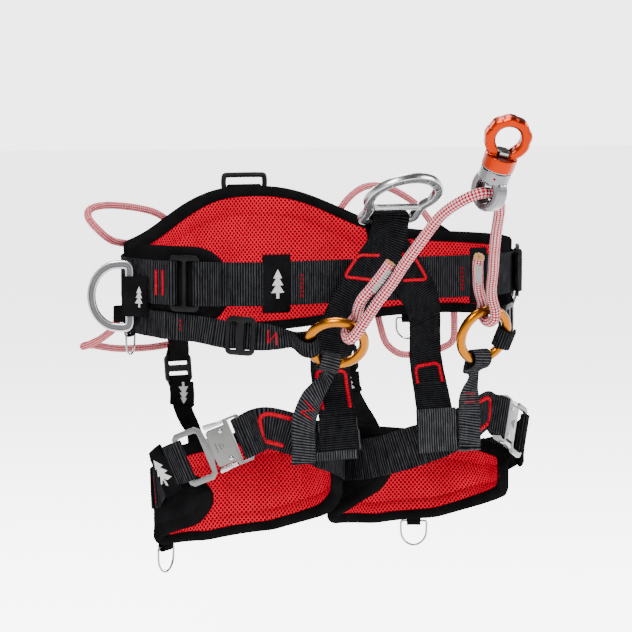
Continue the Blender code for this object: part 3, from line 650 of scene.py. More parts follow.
def stitch_row(name, band, start, end, outward, dash=0.0030, gap=0.0013, width=0.0011, lift=0.0,
               finish=None):
    """A row of separate stitches from one (s, t) to another; t is in metres."""
    start, end = np.array(start, float), np.array(end, float)
    length = np.linalg.norm(end - start)
    way = (end - start) / length
    parts = []
    for k in range(int(length / (dash + gap))):
        a = start + way * k * (dash + gap)
        parts.append(raised_bar(band, [a, a + way * dash], outward, width, 0.0006, lift))
    return settle(make(name, merged(parts), finish or TACK, 70), BODY[band.node], SLOT[band.node])


def keeper(name, band, middle, length, out=0.0024, back=0.0024, margin=0.0022, finish=None,
           top=None):
    """A fabric sleeve round a band, its ends rolled over."""
    shape = []
    for t, h in ((-1.0, 0.2), (-0.97, 0.75), (-0.9, 1.0), (-0.45, 1.02), (0, 1.04), (0.45, 1.02),
                 (0.9, 1.0), (0.97, 0.75), (1.0, 0.2)):
        shape.append((t, h))
    rings = []
    top = margin if top is None else top
    for share, grow in ((0.0, 0.70), (0.02, 0.92), (0.07, 1.06), (0.14, 1.0), (0.32, 0.97),
                        (0.5, 0.96), (0.68, 0.97), (0.86, 1.0), (0.93, 1.06), (0.98, 0.92),
                        (1.0, 0.70)):
        s = middle + (share - 0.5) * length
        half = band.half(s)
        ring = []
        for t, h in shape:
            reach = half + (top if t > 0 else margin)
            ring.append(band.at(s, t * reach / half, out * h * grow)[0])
        for t, h in reversed(shape):
            reach = half + (top if t > 0 else margin)
            ring.append(band.at(s, t * reach / half, -back * h * grow)[0])
        rings.append(ring)
    data = skin(rings)
    return settle(make(name, data, finish or NYLON, 50), BODY[band.node], "black_fabric")


TREE = (((-0.0042, 0.0000), (0.0042, 0.0000), (0.0, 0.0062)),
        ((-0.0036, 0.0045), (0.0036, 0.0045), (0.0, 0.0104)),
        ((-0.0028, 0.0088), (0.0028, 0.0088), (0.0, 0.0142)),
        ((-0.0009, -0.0034), (0.0009, -0.0034), (0.0009, 0.0002), (-0.0009, 0.0002)))


def label(name, band, s, t, outward, lift, turn=0.0, size=1.0):
    """A small embroidered pine tree on a keeper; turn is its angle from the band's width."""
    sign = band.sign(s, outward)
    c, d = math.cos(math.radians(turn)), math.sin(math.radians(turn))
    parts = []
    for shape in TREE:
        rings = []
        for rise in (0.0, 0.0004):
            ring = []
            for x, y in shape:
                y -= 0.0054
                along = (x * c - y * d) * size
                over = (x * d + y * c) * size
                half = band.half(s)
                ring.append(band.at(s + along, (t + over) / half, sign * (lift + rise))[0])
            rings.append(ring)
        parts.append(skin(rings))
    return settle(make(name, merged(parts), LABEL, 30), BODY[band.node], "black_fabric")


def spots(band, points, low=0.0, high=1.0):
    """World points as (s, t in metres) on a band."""
    found = []
    for point in points:
        s = band.near(point, low, high)
        centre = band.at(s)[0]
        across = unit(band.at(s, 1.0)[0] - centre)
        found.append((s, float(np.dot(np.asarray(point, float) - centre, across))))
    return found


# ---------------------------------------------------------------- pads


class Pad:
    """A curved pad read back from its CAD nodes: middle line, outward way, faces and edges."""

    def __init__(self, inner, outer, centre):
        rings = rings_of(inner)
        flat = rings[:, :, :2]
        middle = flat.mean(axis=1)
        ahead = np.gradient(middle, axis=0)
        ahead /= np.linalg.norm(ahead, axis=1, keepdims=True)
        out = np.stack([ahead[:, 1], -ahead[:, 0]], axis=1)
        if np.dot(out[len(out) // 2], middle[len(out) // 2] - centre[:2]) < 0:
            out = -out
        offs = ((flat - middle[:, None]) * out[:, None]).sum(axis=2)
        outer_offs = offs.max(axis=1)
        if outer != inner:
            more = rings_of(outer)[:, :, :2]
            if np.linalg.norm(more[0].mean(0) - middle[0]) > np.linalg.norm(more[-1].mean(0) - middle[0]):
                more = more[::-1]
            outer_offs = ((more - middle[:, None]) * out[:, None]).sum(axis=2).max(axis=1)
        rows = np.column_stack([middle, out, offs.min(axis=1), outer_offs,
                                rings[:, :, 2].min(axis=1), rings[:, :, 2].max(axis=1)])
        self.rows = evenly(smooth(rows, 4), 0.0035, 2)
        self.s = distances(self.rows[:, :2])
        self.length = self.s[-1]

    def row(self, s):
        return np.array([np.interp(s, self.s, self.rows[:, k]) for k in range(8)])

    def point(self, s, off, z):
        """A point s along, off outward of the middle line, at height z; s may run past the ends."""
        row = self.row(s)
        out = unit(row[2:4])
        ahead = np.array([-out[1], out[0]])
        if np.dot(ahead, self.rows[-1, :2] - self.rows[-2, :2]) < 0 and s > self.length / 2:
            ahead = -ahead
        if np.dot(ahead, self.rows[1, :2] - self.rows[0, :2]) < 0 and s <= self.length / 2:
            ahead = -ahead
        past = s - min(max(s, 0.0), self.length)
        flat = row[:2] + out * off + ahead * past
        return np.array([flat[0], flat[1], z])


def puffed_face(low, high, face, seams, depth, swell):
    """(z, offset) across the lining: three foam channels between its edges and two seams."""
    height = high - low
    first = low + min(seams[0], 0.30 * height)
    second = high - min(seams[1], 0.36 * height)
    marks = ((low, 0.0030), (first, depth), (second, depth), (high, 0.0030))
    line = []
    for (a, sink_a), (b, sink_b) in zip(marks, marks[1:]):
        for k in range(9):
            w = 0.5 - 0.5 * math.cos(math.pi * k / 9)
            crown = math.sin(math.pi * w) ** 0.55 * min(1.0, (b - a) / 0.03)
            sink = sink_a * (1 - w) ** 4 + sink_b * w ** 4
            line.append((a + (b - a) * w, face + sink - swell * crown))
    line.append((high, face + 0.0030))
    return line


def lining_data(pad, seams, depth=0.0022, swell=0.0012):
    rings, spots_uv = [], []
    for s in pad.s:
        row = pad.row(s)
        split = (row[4] + row[5]) / 2
        ring, uv = [], []
        for z, off in puffed_face(row[6], row[7], row[4], seams, depth, swell):
            ripple = 0.0005 * math.sin(s * 61 + z * 90) * math.sin(z * 130 - s * 47 + 1)
            ring.append(pad.point(s, off + ripple, z))
            uv.append((s, z))
        for z in (row[7], row[6]):
            ring.append(pad.point(s, split, z))
            uv.append((s, z))
        rings.append(ring)
        spots_uv.extend(uv)
    points, faces, _ = skin(rings)
    return points, faces, [[spots_uv[i] for i in face] for face in faces]


def shell_data(pad):
    """The outer cover: flat where belts lie on it, rolled in at its edges."""
    rings, spots_uv = [], []
    for s in pad.s:
        row = pad.row(s)
        split = (row[4] + row[5]) / 2
        ring, uv = [], []
        for k in range(21):
            w = k / 20
            z = row[6] + (row[7] - row[6]) * w
            near = min(z - row[6], row[7] - z)
            fall = max(0.0, 1 - near / 0.006)
            seam = 0.0004 * math.exp(-((near - 0.0155) / 0.0012) ** 2)
            ring.append(pad.point(s, row[5] - 0.0016 * fall * fall - seam - 0.0001, z))
            uv.append((s, z))
        for z in (row[7], row[6]):
            ring.append(pad.point(s, split + 0.0003, z))
            uv.append((s, z))
        rings.append(ring)
        spots_uv.extend(uv)
    points, faces, _ = skin(rings)
    return points, faces, [[spots_uv[i] for i in face] for face in faces]


def edge_line(pad):
    """The pad's edge as even (s, z) points, its ends rounded."""
    top = [(s, pad.row(s)[7]) for s in pad.s]
    bottom = [(s, pad.row(s)[6]) for s in pad.s[::-1]]
    line = np.array(top + bottom)
    around = evenly(np.vstack([line, line[:1]]), 0.0028, 2)[:-1]
    for _ in range(3):
        around = (np.roll(around, 1, axis=0) + 2 * around + np.roll(around, -1, axis=0)) / 4
    return around


def binding_data(pad, reach=BINDING):
    """The tape folded over the pad's edge."""
    line = edge_line(pad)
    rings = []
    for i, (s, z) in enumerate(line):
        ahead = unit(line[(i + 1) % len(line)] - line[i - 1])
        out_s, out_z = -ahead[1], ahead[0]
        row = pad.row(s)
        half = (row[5] - row[4]) / 2
        middle = (row[5] + row[4]) / 2
        pucker = 0.0003 * math.sin(i * 1.9) + 0.0002 * math.sin(i * 0.73)
        section = ((-reach, -half - 0.0007), (-reach * 0.9, -half - 0.0013),
                   (-reach * 0.5, -half - 0.0014 - pucker), (-0.0020, -half - 0.0010),
                   (0.0010, -half * 0.78), (0.0022, -half * 0.35), (0.0024, half * 0.2),
                   (0.0014, half * 0.75), (-0.0016, half + 0.0002), (-reach * 0.5, half + 0.0002),
                   (-reach, half + 0.0001), (-reach, half - 0.0016), (-0.0024, half - 0.0022),
                   (-0.0024, 0.0030 - half), (-reach, 0.0034 - half))
        rings.append([pad.point(s + out_s * a, middle + n, z + out_z * a) for a, n in section])
    return skin(rings, closed=True)


def stitched_edge(pad, name, body):
    """The seam thread just inside the binding's inner edge."""
    line = edge_line(pad)
    parts = []
    for i in range(0, len(line) - 1, 2):
        ring_pair = []
        for j in (i, i + 1):
            s, z = line[j]
            ahead = unit(line[(j + 1) % len(line)] - line[j - 1])
            a = -BINDING + 0.0018
            row = pad.row(s)
            face = row[4] - 0.0013
            spot = [(a - 0.0004, face + 0.0002), (a, face - 0.0004), (a + 0.0004, face + 0.0002)]
            ring_pair.append([pad.point(s - ahead[1] * b, n, z + ahead[0] * b) for b, n in spot])
        parts.append(skin(ring_pair))
    return settle(make(name, merged(parts), BIND, 70), body, "black_fabric")


def pad_pieces(tag, inner, outer, centre, seams):
    pad = Pad(inner, outer, centre)
    lining = make(f"{tag}_lining_fabric", lining_data(pad, seams), MESH, 80)
    stand_in(lining, inner)
    shell = make(f"{tag}_cover", shell_data(pad), SHELL, 60)
    if outer != inner:
        stand_in(shell, outer)
    else:
        settle(shell, BODY[inner], "black_fabric")
    settle(make(f"{tag}_binding", binding_data(pad), BIND, 75), BODY[inner], "black_fabric")
    stitched_edge(pad, f"{tag}_binding_thread", BODY[inner])
    return pad


# ---------------------------------------------------------------- hardware


def machined(node, finish, width=0.0006, segments=3):
    """The CAD solid with its flat faces whole and its edges rounded."""
    work = welded(node)
    bmesh.ops.dissolve_limit(work, angle_limit=math.radians(0.6), verts=work.verts, edges=work.edges)
    sharp = [e for e in work.edges if len(e.link_faces) == 2
             and e.calc_face_angle(0.0) > math.radians(38)]
    bmesh.ops.bevel(work, geom=sharp, offset=width, segments=segments, profile=0.5,
                    affect="EDGES", clamp_overlap=True)
    mesh = bpy.data.meshes.new(f"{node}_metal")
    work.to_mesh(mesh)
    work.free()
    return from_mesh(f"{node}_part", mesh, finish, node)


def from_mesh(name, mesh, finish, *nodes, sharp=35):
    mesh.materials.clear()
    mesh.materials.append(finish)
    mesh.shade_smooth()
    mesh.set_sharp_from_angle(angle=math.radians(sharp))
    item = bpy.data.objects.new(name, mesh)
    bpy.context.scene.collection.objects.link(item)
    return stand_in(item, *nodes)


def forged(node, finish, voxel=0.0007, rounds=7, shape=None):
    """The CAD solid with its joins and edges melted together, as a forging or casting has them."""
    mesh = frame["nodes"][node].data.copy()
    item = bpy.data.objects.new(f"{node}_raw", mesh)
    bpy.context.scene.collection.objects.link(item)
    change = item.modifiers.new("remesh", "REMESH")
    change.mode = "VOXEL"
    change.voxel_size = voxel
    change = item.modifiers.new("smooth", "SMOOTH")
    change.factor = 0.5
    change.iterations = rounds
    mesh = evaluated(item)
    if shape:
        for vertex in mesh.vertices:
            vertex.co = shape(np.array(vertex.co))
    return from_mesh(f"{node}_forging", mesh, finish, node, sharp=75)


def grooved_section(half_in, half_up, groove, depth):
    """A rounded bar with a sunk channel along both flat faces, and the channel's face numbers; those faces
    get the darker alloy as painted shade.
    """
    c = 0.0011
    upper = [(half_in, half_up - c * 1.6), (half_in - c * 0.5, half_up - c * 0.4),
             (half_in - c * 1.4, half_up), (groove + 0.0003, half_up), (groove, half_up - depth * 0.5),
             (groove - 0.0003, half_up - depth), (0.0003 - groove, half_up - depth),
             (-groove, half_up - depth * 0.5), (-groove - 0.0003, half_up),
             (c * 1.4 - half_in, half_up), (c * 0.5 - half_in, half_up - c * 0.4),
             (-half_in, half_up - c * 1.6)]
    lower = [(a, -b) for a, b in reversed(upper)]
    count = len(upper) + len(lower)
    dark = {4, 5, 6, count - 6, count - 7, count - 8}
    return upper + lower, dark


def grooved_loop(name, node, outline, place, half_in, half_up, groove, depth=0.0008):
    section, dark = grooved_section(half_in, half_up, groove, depth)
    data = skin(swept_loop(outline, section, place), closed=True)
    count = len(section)
    # The channel faces take the darker alloy: painted shade in the channel.
    item = make(name, data, [ALLOY, DARK_ALLOY_AND_PAINTED_SHADE], 40, lambda i: 1 if i % count in dark else 0)
    return stand_in(item, node)


def block(place, low, high, soften=0.0003):
    """A small box with softened ends between two local corners."""
    (x0, y0, z0), (x1, y1, z1) = low, high
    rings = []
    for x, c in ((x0, soften), (x0 + soften, 0.0), (x1 - soften, 0.0), (x1, soften)):
        corners = ((y0 + c, z0 + c), (y1 - c, z0 + c), (y1 - c, z1 - c), (y0 + c, z1 - c))
        rings.append([place @ Vector((x, y, z)) for y, z in corners])
    return skin(rings)


def tube(line, radius, sides=20, bump=0.0, around=1, pitch=1.0, caps=True):
    """A round tube along a line, perhaps with a braid's raised checks."""
    sides_a, sides_b = parallel_frames(line)
    along = distances(line)
    rings = []
    for i, point in enumerate(line):
        ring = []
        for k in range(sides):
            a = 2 * math.pi * k / sides
            down = 2 * math.pi * along[i] / pitch
            check = abs(math.sin(a * around + down) * math.sin(a * around - down))
            r = radius * (1 - bump * 0.5 + bump * check)
            ring.append(point + r * (math.cos(a) * sides_a[i] + math.sin(a) * sides_b[i]))
        rings.append(ring)
    points, faces, _ = skin(rings, caps=caps)
    uvs = []
    for face in faces:
        spots_uv = [(2 * math.pi * radius * (i % sides) / sides, along[i // sides]) for i in face]
        if len(face) == 4 and max(u for u, _ in spots_uv) - min(u for u, _ in spots_uv) > radius * 3:
            spots_uv = [(u + 2 * math.pi * radius if u < radius else u, v) for u, v in spots_uv]
        uvs.append(spots_uv)
    return points, faces, uvs


def centre_line(node, step):
    return evenly(smooth(rings_of(node).mean(axis=1), 3), step)


def ring_geometry(node):
    """Middle, face, wire middle radius and wire radius of a round ring node."""
    points = np.array([v.co for v in frame["nodes"][node].data.vertices])
    centre = (points.max(axis=0) + points.min(axis=0)) / 2
    _, _, axes = np.linalg.svd(points - points.mean(axis=0), full_matrices=False)
    face = axes[2]
    flat = (points - centre) - np.outer((points - centre) @ face, face)
    reach = np.linalg.norm(flat, axis=1)
    return centre, face, (reach.max() + reach.min()) / 2, (reach.max() - reach.min()) / 2


# ---------------------------------------------------------------- the pads and the waist belt


def outward_from(centre):
    return lambda point: np.array([point[0] - centre[0], point[1] - centre[1], 0.0])


def waist_parts():
    pad_pieces("back_pad", "back_pad_lining", "back_pad_shell", np.zeros(3), (0.022, 0.031))
    rear = webbing("rear_belt", BELT_WEB)
    front = webbing("front_belt", BELT_WEB)
    for tag, side in SIDES:
        machined(f"waist_slider_{tag}", BLACK_METAL, 0.0009)
        low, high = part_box(f"waist_slider_{tag}")
        centre = np.array((low + high) / 2)
        out = unit((centre[0] * 0.75, centre[1] * 1.3, 0))
        back = unit(np.cross((0, 0, side), out))
        for number, reach in ((1, 0.0265), (2, 0.0345)):
            near = centre + back * reach + out * 0.003
            s = rear.near(near)
            tack(f"rear_belt_bar_{number}_{tag}", rear, [(s, -0.0135), (s, 0.0135)], out, 0.0030)
        s = front.near((side * 0.0995, -0.1300, 0.0))
        for number, shift in ((1, -0.0012), (2, 0.0012)):
            stitch_row(f"front_belt_stitches_{number}_{tag}", front, (s + shift, -0.015),
                       (s + shift, 0.015), FRONT, width=0.0009)
    s = front.near((-0.1275, -0.1300, 0.0))
    keeper("front_belt_keeper_r", front, s, 0.0300, margin=0.0075, out=0.0030)
    label("front_belt_mark_r", front, s, 0.0, FRONT, 0.0032, turn=0, size=1.7)
    s = front.near((0.1215, -0.1300, 0.0))
    keeper("front_belt_keeper_l", front, s, 0.0200, margin=0.0075, out=0.0028)


def hip_parts():
    for tag, side in SIDES:
        joint = JOINT[f"side_d_swing_{tag}"]
        bar = np.array(joint["pos_m"])
        reach = unit((side * 0.88, 0.47, 0))
        outline = [(0.0, 0.0290), (0.0, 0.0145), (0.0, -0.0145), (0.0, -0.0290), (0.0045, -0.0330)]
        bow = np.radians(np.linspace(-80, 80, 11))
        outline += [(0.012 + 0.028 * math.cos(a), 0.033 * math.sin(a)) for a in bow]
        outline += [(0.0045, 0.0330)]
        place = frame_at(bar, reach, np.cross(reach, (0, 0, 1)))
        outline = round_outline(outline, 5)
        grooved_loop(f"side_d_{tag}_forging", f"side_d_{tag}", outline, place, 0.0044, 0.0044, 0.0021)
        sleeve = webbing(f"side_d_sleeve_{tag}", NYLON)
        out = unit((bar[0], bar[1], 0))
        front = min(0.0, sleeve.length, key=lambda s: sleeve.at(s)[0][1])
        s = abs(front - 0.0125)
        label(f"side_d_mark_{tag}", sleeve, s, 0.0, out, 0.0016, turn=0, size=1.25)


def back_parts():
    joint = JOINT["back_loop_flip"]
    low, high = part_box("back_loop")
    top, width = high.z - joint["pos_m"][2], high.x - low.x
    wire = 0.0031
    across = width / 2 - wire
    rise = top - wire
    outline = [(-across + 0.006, 0.0), (across - 0.006, 0.0), (across - 0.001, 0.0012),
               (across, 0.006), (across, rise - 0.006), (across - 0.001, rise - 0.0012),
               (across - 0.006, rise), (0.006 - across, rise), (0.001 - across, rise - 0.0012),
               (-across, rise - 0.006), (-across, 0.006), (0.001 - across, 0.0012)]
    place = frame_at(joint["pos_m"], (1, 0, 0), (0, -1, 0))
    loop = swept_loop(round_outline(outline, 4), ellipse(wire, wire), place)
    stand_in(make("back_loop_ring", skin(loop, closed=True), PLASTIC, 60), "back_loop")
    tab = webbing("back_loop_tab", NYLON)
    for number, z in ((1, 0.058), (2, 0.044)):
        s = tab.near((0, 0.183, z))
        stitch_row(f"back_loop_stitches_{number}", tab, (s, -0.018), (s, 0.018), (0, 1, 0),
                   finish=TACK, width=0.0009)
    for tag, side in SIDES:
        for name, body in ((f"belt_ring_{tag}", "belt"), (f"leg_ring_{tag}", "leg")):
            small_ring(name, JOINT[f"{body}_ring_swing_{tag}"])
            webbing(f"{name[:-2]}_tab_{tag}", NYLON)


def small_ring(name, joint):
    """A wire D on its straight bar, its wire butted at the bar."""
    low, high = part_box(name)
    bar = np.array(joint["pos_m"])
    along = unit(joint["axis"])
    down = np.array([0.0, 0.0, -1.0])
    points = np.array([v.co for v in frame["nodes"][name].data.vertices]) - bar
    reach = (points @ down).max()
    wire = -(points @ down).min()
    half = np.abs(points @ along).max() - wire
    reach -= wire
    outline = [(0.0, half - 0.0035), (0.0, 0.0035 - half), (0.0012, 0.0006 - half), (0.0045, -half)]
    bow = np.radians(np.linspace(-75, 75, 9))
    outline += [(reach * 0.38 + reach * 0.62 * math.cos(a), half * math.sin(a)) for a in bow]
    outline += [(0.0045, half), (0.0012, half - 0.0006)]
    place = frame_at(bar, down, np.cross(down, along))
    loop = swept_loop(round_outline(outline, 4), ellipse(wire, wire, 12), place)
    stand_in(make(f"{name}_wire", skin(loop, closed=True), STEEL_WIRE, 60), name)


# ---------------------------------------------------------------- bridge, swivel and cords


def bridge_parts():
    for tag, side in SIDES:
        node = f"bridge_ring_{tag}"
        centre, face, radius, wire = ring_geometry(node)
        place = frame_at(centre, np.cross(face, (0, 0, 1)), face)
        turns = np.linspace(0, 2 * math.pi, 97)[:-1]
        outline = [(radius * math.cos(a), radius * math.sin(a)) for a in turns]
        rings = skin(swept_loop(outline, ellipse(wire * 1.0, wire * 1.0, 24), place), closed=True)
        stand_in(make(f"{node}_torus", rings, GOLD, 60), node)
        strap = webbing(f"bridge_strap_{tag}", BELT_WEB)
        machined(f"bridge_adjuster_{tag}", BLACK_METAL, 0.0008)
        low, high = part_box(f"bridge_adjuster_{tag}")
        adjuster = np.array((low + high) / 2)
        ahead = unit(centre - adjuster)
        out = unit(np.cross(ahead, (0, 0, 1)))
        out = out if out[1] < 0 else -out
        for number, reach in ((1, 0.027), (2, 0.036)):
            s = strap.near(adjuster + ahead * reach + out * 0.002, 0.2, 0.9)
            tack(f"bridge_strap_bar_{number}_{tag}", strap, [(s, -0.0075), (s, 0.0075)], out, 0.0018,
                 0.0008)
        s = strap.near(adjuster + ahead * 0.0315 + out * 0.002, 0.2, 0.9)
        tack(f"bridge_strap_slant_{tag}", strap, [(s - 0.0040, -0.006), (s + 0.0040, 0.006)], out,
             0.0010, 0.0006)
        s = strap.near((side * 0.2050, -0.0660, -0.045))
        stitch_row(f"bridge_strap_stitches_{tag}", strap, (s, -0.008), (s, 0.008),
                   (side, -0.5, 0), width=0.0014)


def cord_piece(node, radius, finish, checks, pitch):
    line = centre_line(node, 0.0012)
    data = tube(line, radius, 20, 0.10, checks, pitch)
    item = stand_in(make(f"{node}_braid", data, finish, 85), node)
    along = distances(line)
    return line


def cord_end(name, line, cover, radius, finish, from_start):
    """A short sleeve or cut end over a cord's last stretch."""
    line = line if from_start else line[::-1]
    along = distances(line)
    stretch = line[along <= cover]
    past = unit(line[0] - line[2])
    shares = ((0.0006, 0.30), (0.0004, 0.80), (0.0, 1.0))
    rings = []
    sides_a, sides_b = parallel_frames(stretch)
    for reach, share in shares:
        rings.append([stretch[0] + past * reach + radius * share
                      * (math.cos(a) * sides_a[0] + math.sin(a) * sides_b[0])
                      for a in np.radians(np.arange(0, 360, 20))])
    for i in range(1, len(stretch)):
        rings.append([stretch[i] + radius * (math.cos(a) * sides_a[i] + math.sin(a) * sides_b[i])
                      for a in np.radians(np.arange(0, 360, 20))])
    return settle(make(name, skin(rings), finish, 50), "harness", "black_fabric")


def sewn_patch(name, line):
    """A flat patch that holds a tool cord's end against the pad's outer side."""
    spot = line[int(np.searchsorted(distances(line), 0.006))]
    out = unit((spot[0] / WAIST_X ** 2, spot[1] / WAIST_Y ** 2, 0))
    ahead = unit(line[10] - line[0])
    ahead = unit(ahead - out * np.dot(ahead, out))
    place = frame_at(spot, ahead, out)
    base = -0.0064
    rings = []
    for x, share in ((-0.0085, 0.92), (-0.0080, 1.0), (0.0080, 1.0), (0.0085, 0.92)):
        top = [(0.0110, base), (0.0110, base + 0.0016), (0.0066, base + 0.0030), (0.0052, 0.0030),
               (0.0030, 0.0050), (0.0, 0.0056)]
        ring = top + [(-y, z) for y, z in reversed(top[:-1])]
        rings.append([place @ Vector((x, y * share, base + (z - base) * share)) for y, z in ring])
    return settle(make(name, skin(rings), NYLON, 50), "harness", "black_fabric")


def cords():
    line = centre_line("bridge_rope", 0.0012)
    ends = []
    for number, from_start in ((1, True), (2, False)):
        ends.append(cord_end(f"bridge_rope_cut_end_{number}", line, 0.0016, 0.00535, ROPE_END,
                             from_start))
    ends += [eye_stitching("r", line, True), eye_stitching("l", line, False)]
    cord_piece("bridge_rope", 0.0055, ROPE, 5, 0.0066)
    for tag in ("upper_l", "upper_r", "lower_l", "lower_r"):
        node = f"gear_loop_{tag}"
        line = centre_line(node, 0.0012)
        ends = [cord_end(f"{node}_sleeve_1", line, 0.013, 0.0049, NYLON, True),
                cord_end(f"{node}_sleeve_2", line, 0.013, 0.0049, NYLON, False)]
        for number, rows in ((1, line), (2, line[::-1])):
            ends.append(sewn_patch(f"{node}_patch_{number}", rows))
        cord_piece(node, 0.004, CORD, 5, 0.0046)


def eye_stitching(tag, line, from_start):
    """White zigzag stitching that joins the rope's short end to its main run."""
    line = line if from_start else line[::-1]
    along = distances(line)
    parts = []
    for k in range(26):
        s = 0.006 + k * 0.0011
        short = line[int(np.searchsorted(along, s))]
        rest = line[along > 0.10]
        main = rest[int(np.argmin(np.linalg.norm(rest[:200] - short, axis=1)))]
        middle = (short + main) / 2 * 0.35 + short * 0.65
        ahead = unit(line[int(np.searchsorted(along, s + 0.002))] - short)
        over = unit(main - short)
        face = unit(np.cross(ahead, over))
        face = face if np.dot(face, (-0.45, -0.86, 0.1)) > 0 else -face
        surface = middle + face * 0.0047
        rings = []
        for share in np.linspace(-1, 1, 7):
            spot = surface + over * share * 0.0045 - face * 0.0016 * share * share
            lean = ahead * 0.0004 * (1 if k % 2 else -1) * share
            ring = []
            for degrees in range(0, 360, 72):
                a = math.radians(degrees)
                ring.append(spot + lean + ahead * math.cos(a) * 0.00052 + face * math.sin(a) * 0.0006)
            rings.append(ring)
        parts.append(skin(rings))
    return settle(make(f"bridge_rope_eye_stitching_{tag}", merged(parts), WHITE_THREAD, 70),
                  "harness", "red_white_rope")


def swivel_parts():
    joint = JOINT["swivel_spin"]
    at = np.array(joint["pos_m"])
    up = unit(joint["axis"])
    eye_centre = at + up * 0.0335
    nodes = frame["nodes"]
    points = np.array([v.co for v in nodes["swivel_eye"].data.vertices])
    ring_points = points[(points - at) @ up > 0.030] - eye_centre
    across = ring_points - np.outer(ring_points @ up, up)
    _, _, axes = np.linalg.svd(across, full_matrices=False)
    wide, face = axes[0], axes[1]

    def lobed(point):
        """Shallow scallops round the upper eye's rim."""
        local = point - eye_centre
        x, y, z = local @ wide, local @ up, local @ face
        reach = math.hypot(x, y)
        if reach < 0.0185 or y < -0.012:
            return point
        turn = math.atan2(y, x)
        lobe = 0.5 + 0.5 * math.cos(turn * 9)
        sink = 0.0011 * (1 - lobe ** 0.6) * min(1.0, (reach - 0.0185) / 0.003)
        sink *= min(1.0, (y + 0.012) / 0.006)
        keep = (reach - sink) / reach
        return eye_centre + wide * x * keep + up * y * keep + face * z

    forged("swivel_eye", ORANGE, 0.00065, 6, lobed)
    forged("swivel_base", GUNMETAL, 0.00065, 6)
    machined("swivel_bolt", STEEL_WIRE, 0.0004)
    machined("swivel_washer", STEEL_WIRE, 0.0002)
    toward = unit(np.array([-0.45, -0.86, 0.1]))
    flat = unit(toward - np.dot(toward, up) * up)
    spot = at + flat * 0.0150 - up * 0.0060
    turns = np.radians(np.arange(0, 360, 30))
    right = np.cross(up, flat)
    rings = [[spot + flat * rise + 0.0013 * share * (math.cos(a) * right + math.sin(a) * up)
              for a in turns] for rise, share in ((-0.0005, 1.0), (0.0006, 1.0), (0.0009, 0.6))]
    settle(make("swivel_lock_dot", skin(rings), TACK, 60), "swivel_base", "grey_alloy")


# ---------------------------------------------------------------- chest


CHEST_UP = unit((0.0, -0.795, 0.607))
CHEST_OUTLINE = ((0.0, 0.0270), (0.0, 0.0), (0.0, -0.0270), (0.0040, -0.0310), (0.0120, -0.0304),
                 (0.0220, -0.0315), (0.0340, -0.0385), (0.0480, -0.0385), (0.0600, -0.0310),
                 (0.0690, -0.0180), (0.0725, 0.0), (0.0690, 0.0180), (0.0600, 0.0310),
                 (0.0480, 0.0385), (0.0340, 0.0385), (0.0220, 0.0315), (0.0120, 0.0304),
                 (0.0040, 0.0310))


def chest_parts():
    bar = np.array(JOINT["chest_d_swing"]["pos_m"])
    place = frame_at(bar, CHEST_UP, np.cross(CHEST_UP, (1, 0, 0)))
    outline = round_outline(CHEST_OUTLINE, 5)
    grooved_loop("chest_d_forging", "chest_d", outline, place, 0.0053, 0.0037, 0.0030)
    cross = [(0.021, y) for y in np.linspace(-0.0305, 0.0305, 13)]
    rings = []
    for x, y in cross:
        flare = 1.0 + 0.25 * max(0.0, (abs(y) - 0.022) / 0.0085) ** 2
        rings.append([place @ Vector((x + a * flare, y, b)) for a, b in ellipse(0.0040, 0.0033, 20)])
    settle(make("chest_d_cross_bar", skin(rings), ALLOY, 60), "chest_d", "polished_alloy")
    ticks = []
    for degrees in (-62, -42, -22, 22, 42, 62):
        a = math.radians(degrees)
        x, y = 0.038 + 0.0345 * math.cos(a), 0.0385 * math.sin(a)
        turned = place @ Matrix.Translation((x, y, 0)) @ Matrix.Rotation(a, 4, "Z")
        ticks.append(block(turned, (-0.0019, -0.0005, -0.0038), (0.0019, 0.0005, 0.0038)))
    settle(make("chest_d_marks", merged(ticks), ALLOY, 40), "chest_d", "polished_alloy")
    band = webbing("chest_webbing", TWILL_WEB)
    right = [(-0.0133, -0.1440, 0.0273), (-0.0386, -0.1440, 0.0283), (-0.0544, -0.1440, 0.0049),
             (-0.0229, -0.1440, 0.0004)]
    tack("chest_bracket_r", band, spots(band, right), FRONT, 0.0034, bend=0.006)
    left = [(0.0097, -0.1330, 0.0262), (0.0339, -0.1340, 0.0251), (0.0509, -0.1380, -0.0018),
            (0.0207, -0.1360, -0.0015)]
    tack("chest_bracket_l", band, spots(band, left), FRONT, 0.0034, bend=0.006)
    for tag, side in SIDES:
        low, high = (0.095, 0.168) if band.at(0)[0][0] * side > 0 else (0.905, 0.832)
        low, high = low * band.length, high * band.length
        arch = [(low, -0.0165), (high, -0.0165), (high, 0.0165), (low, 0.0165)]
        tack(f"chest_arch_{tag}", band, arch, FRONT, 0.0040, bend=0.007)
        fold = band.near((side * 0.0595, -0.1410, -0.168))
        low = max(0.0, fold - 0.020) if fold < band.length / 2 else fold - 0.026
        lift = 0.0030 * band.sign(fold, FRONT)
        data = webbing_data(band, low, min(band.length, low + 0.046), lift, 1.10)
        turned = data[0], data[1], [[(v, u) for u, v in face] for face in data[2]]
        settle(make(f"leg_fold_{tag}", turned, LIGHT_WEB, 60), "harness", "grey_webbing")


# ---------------------------------------------------------------- legs


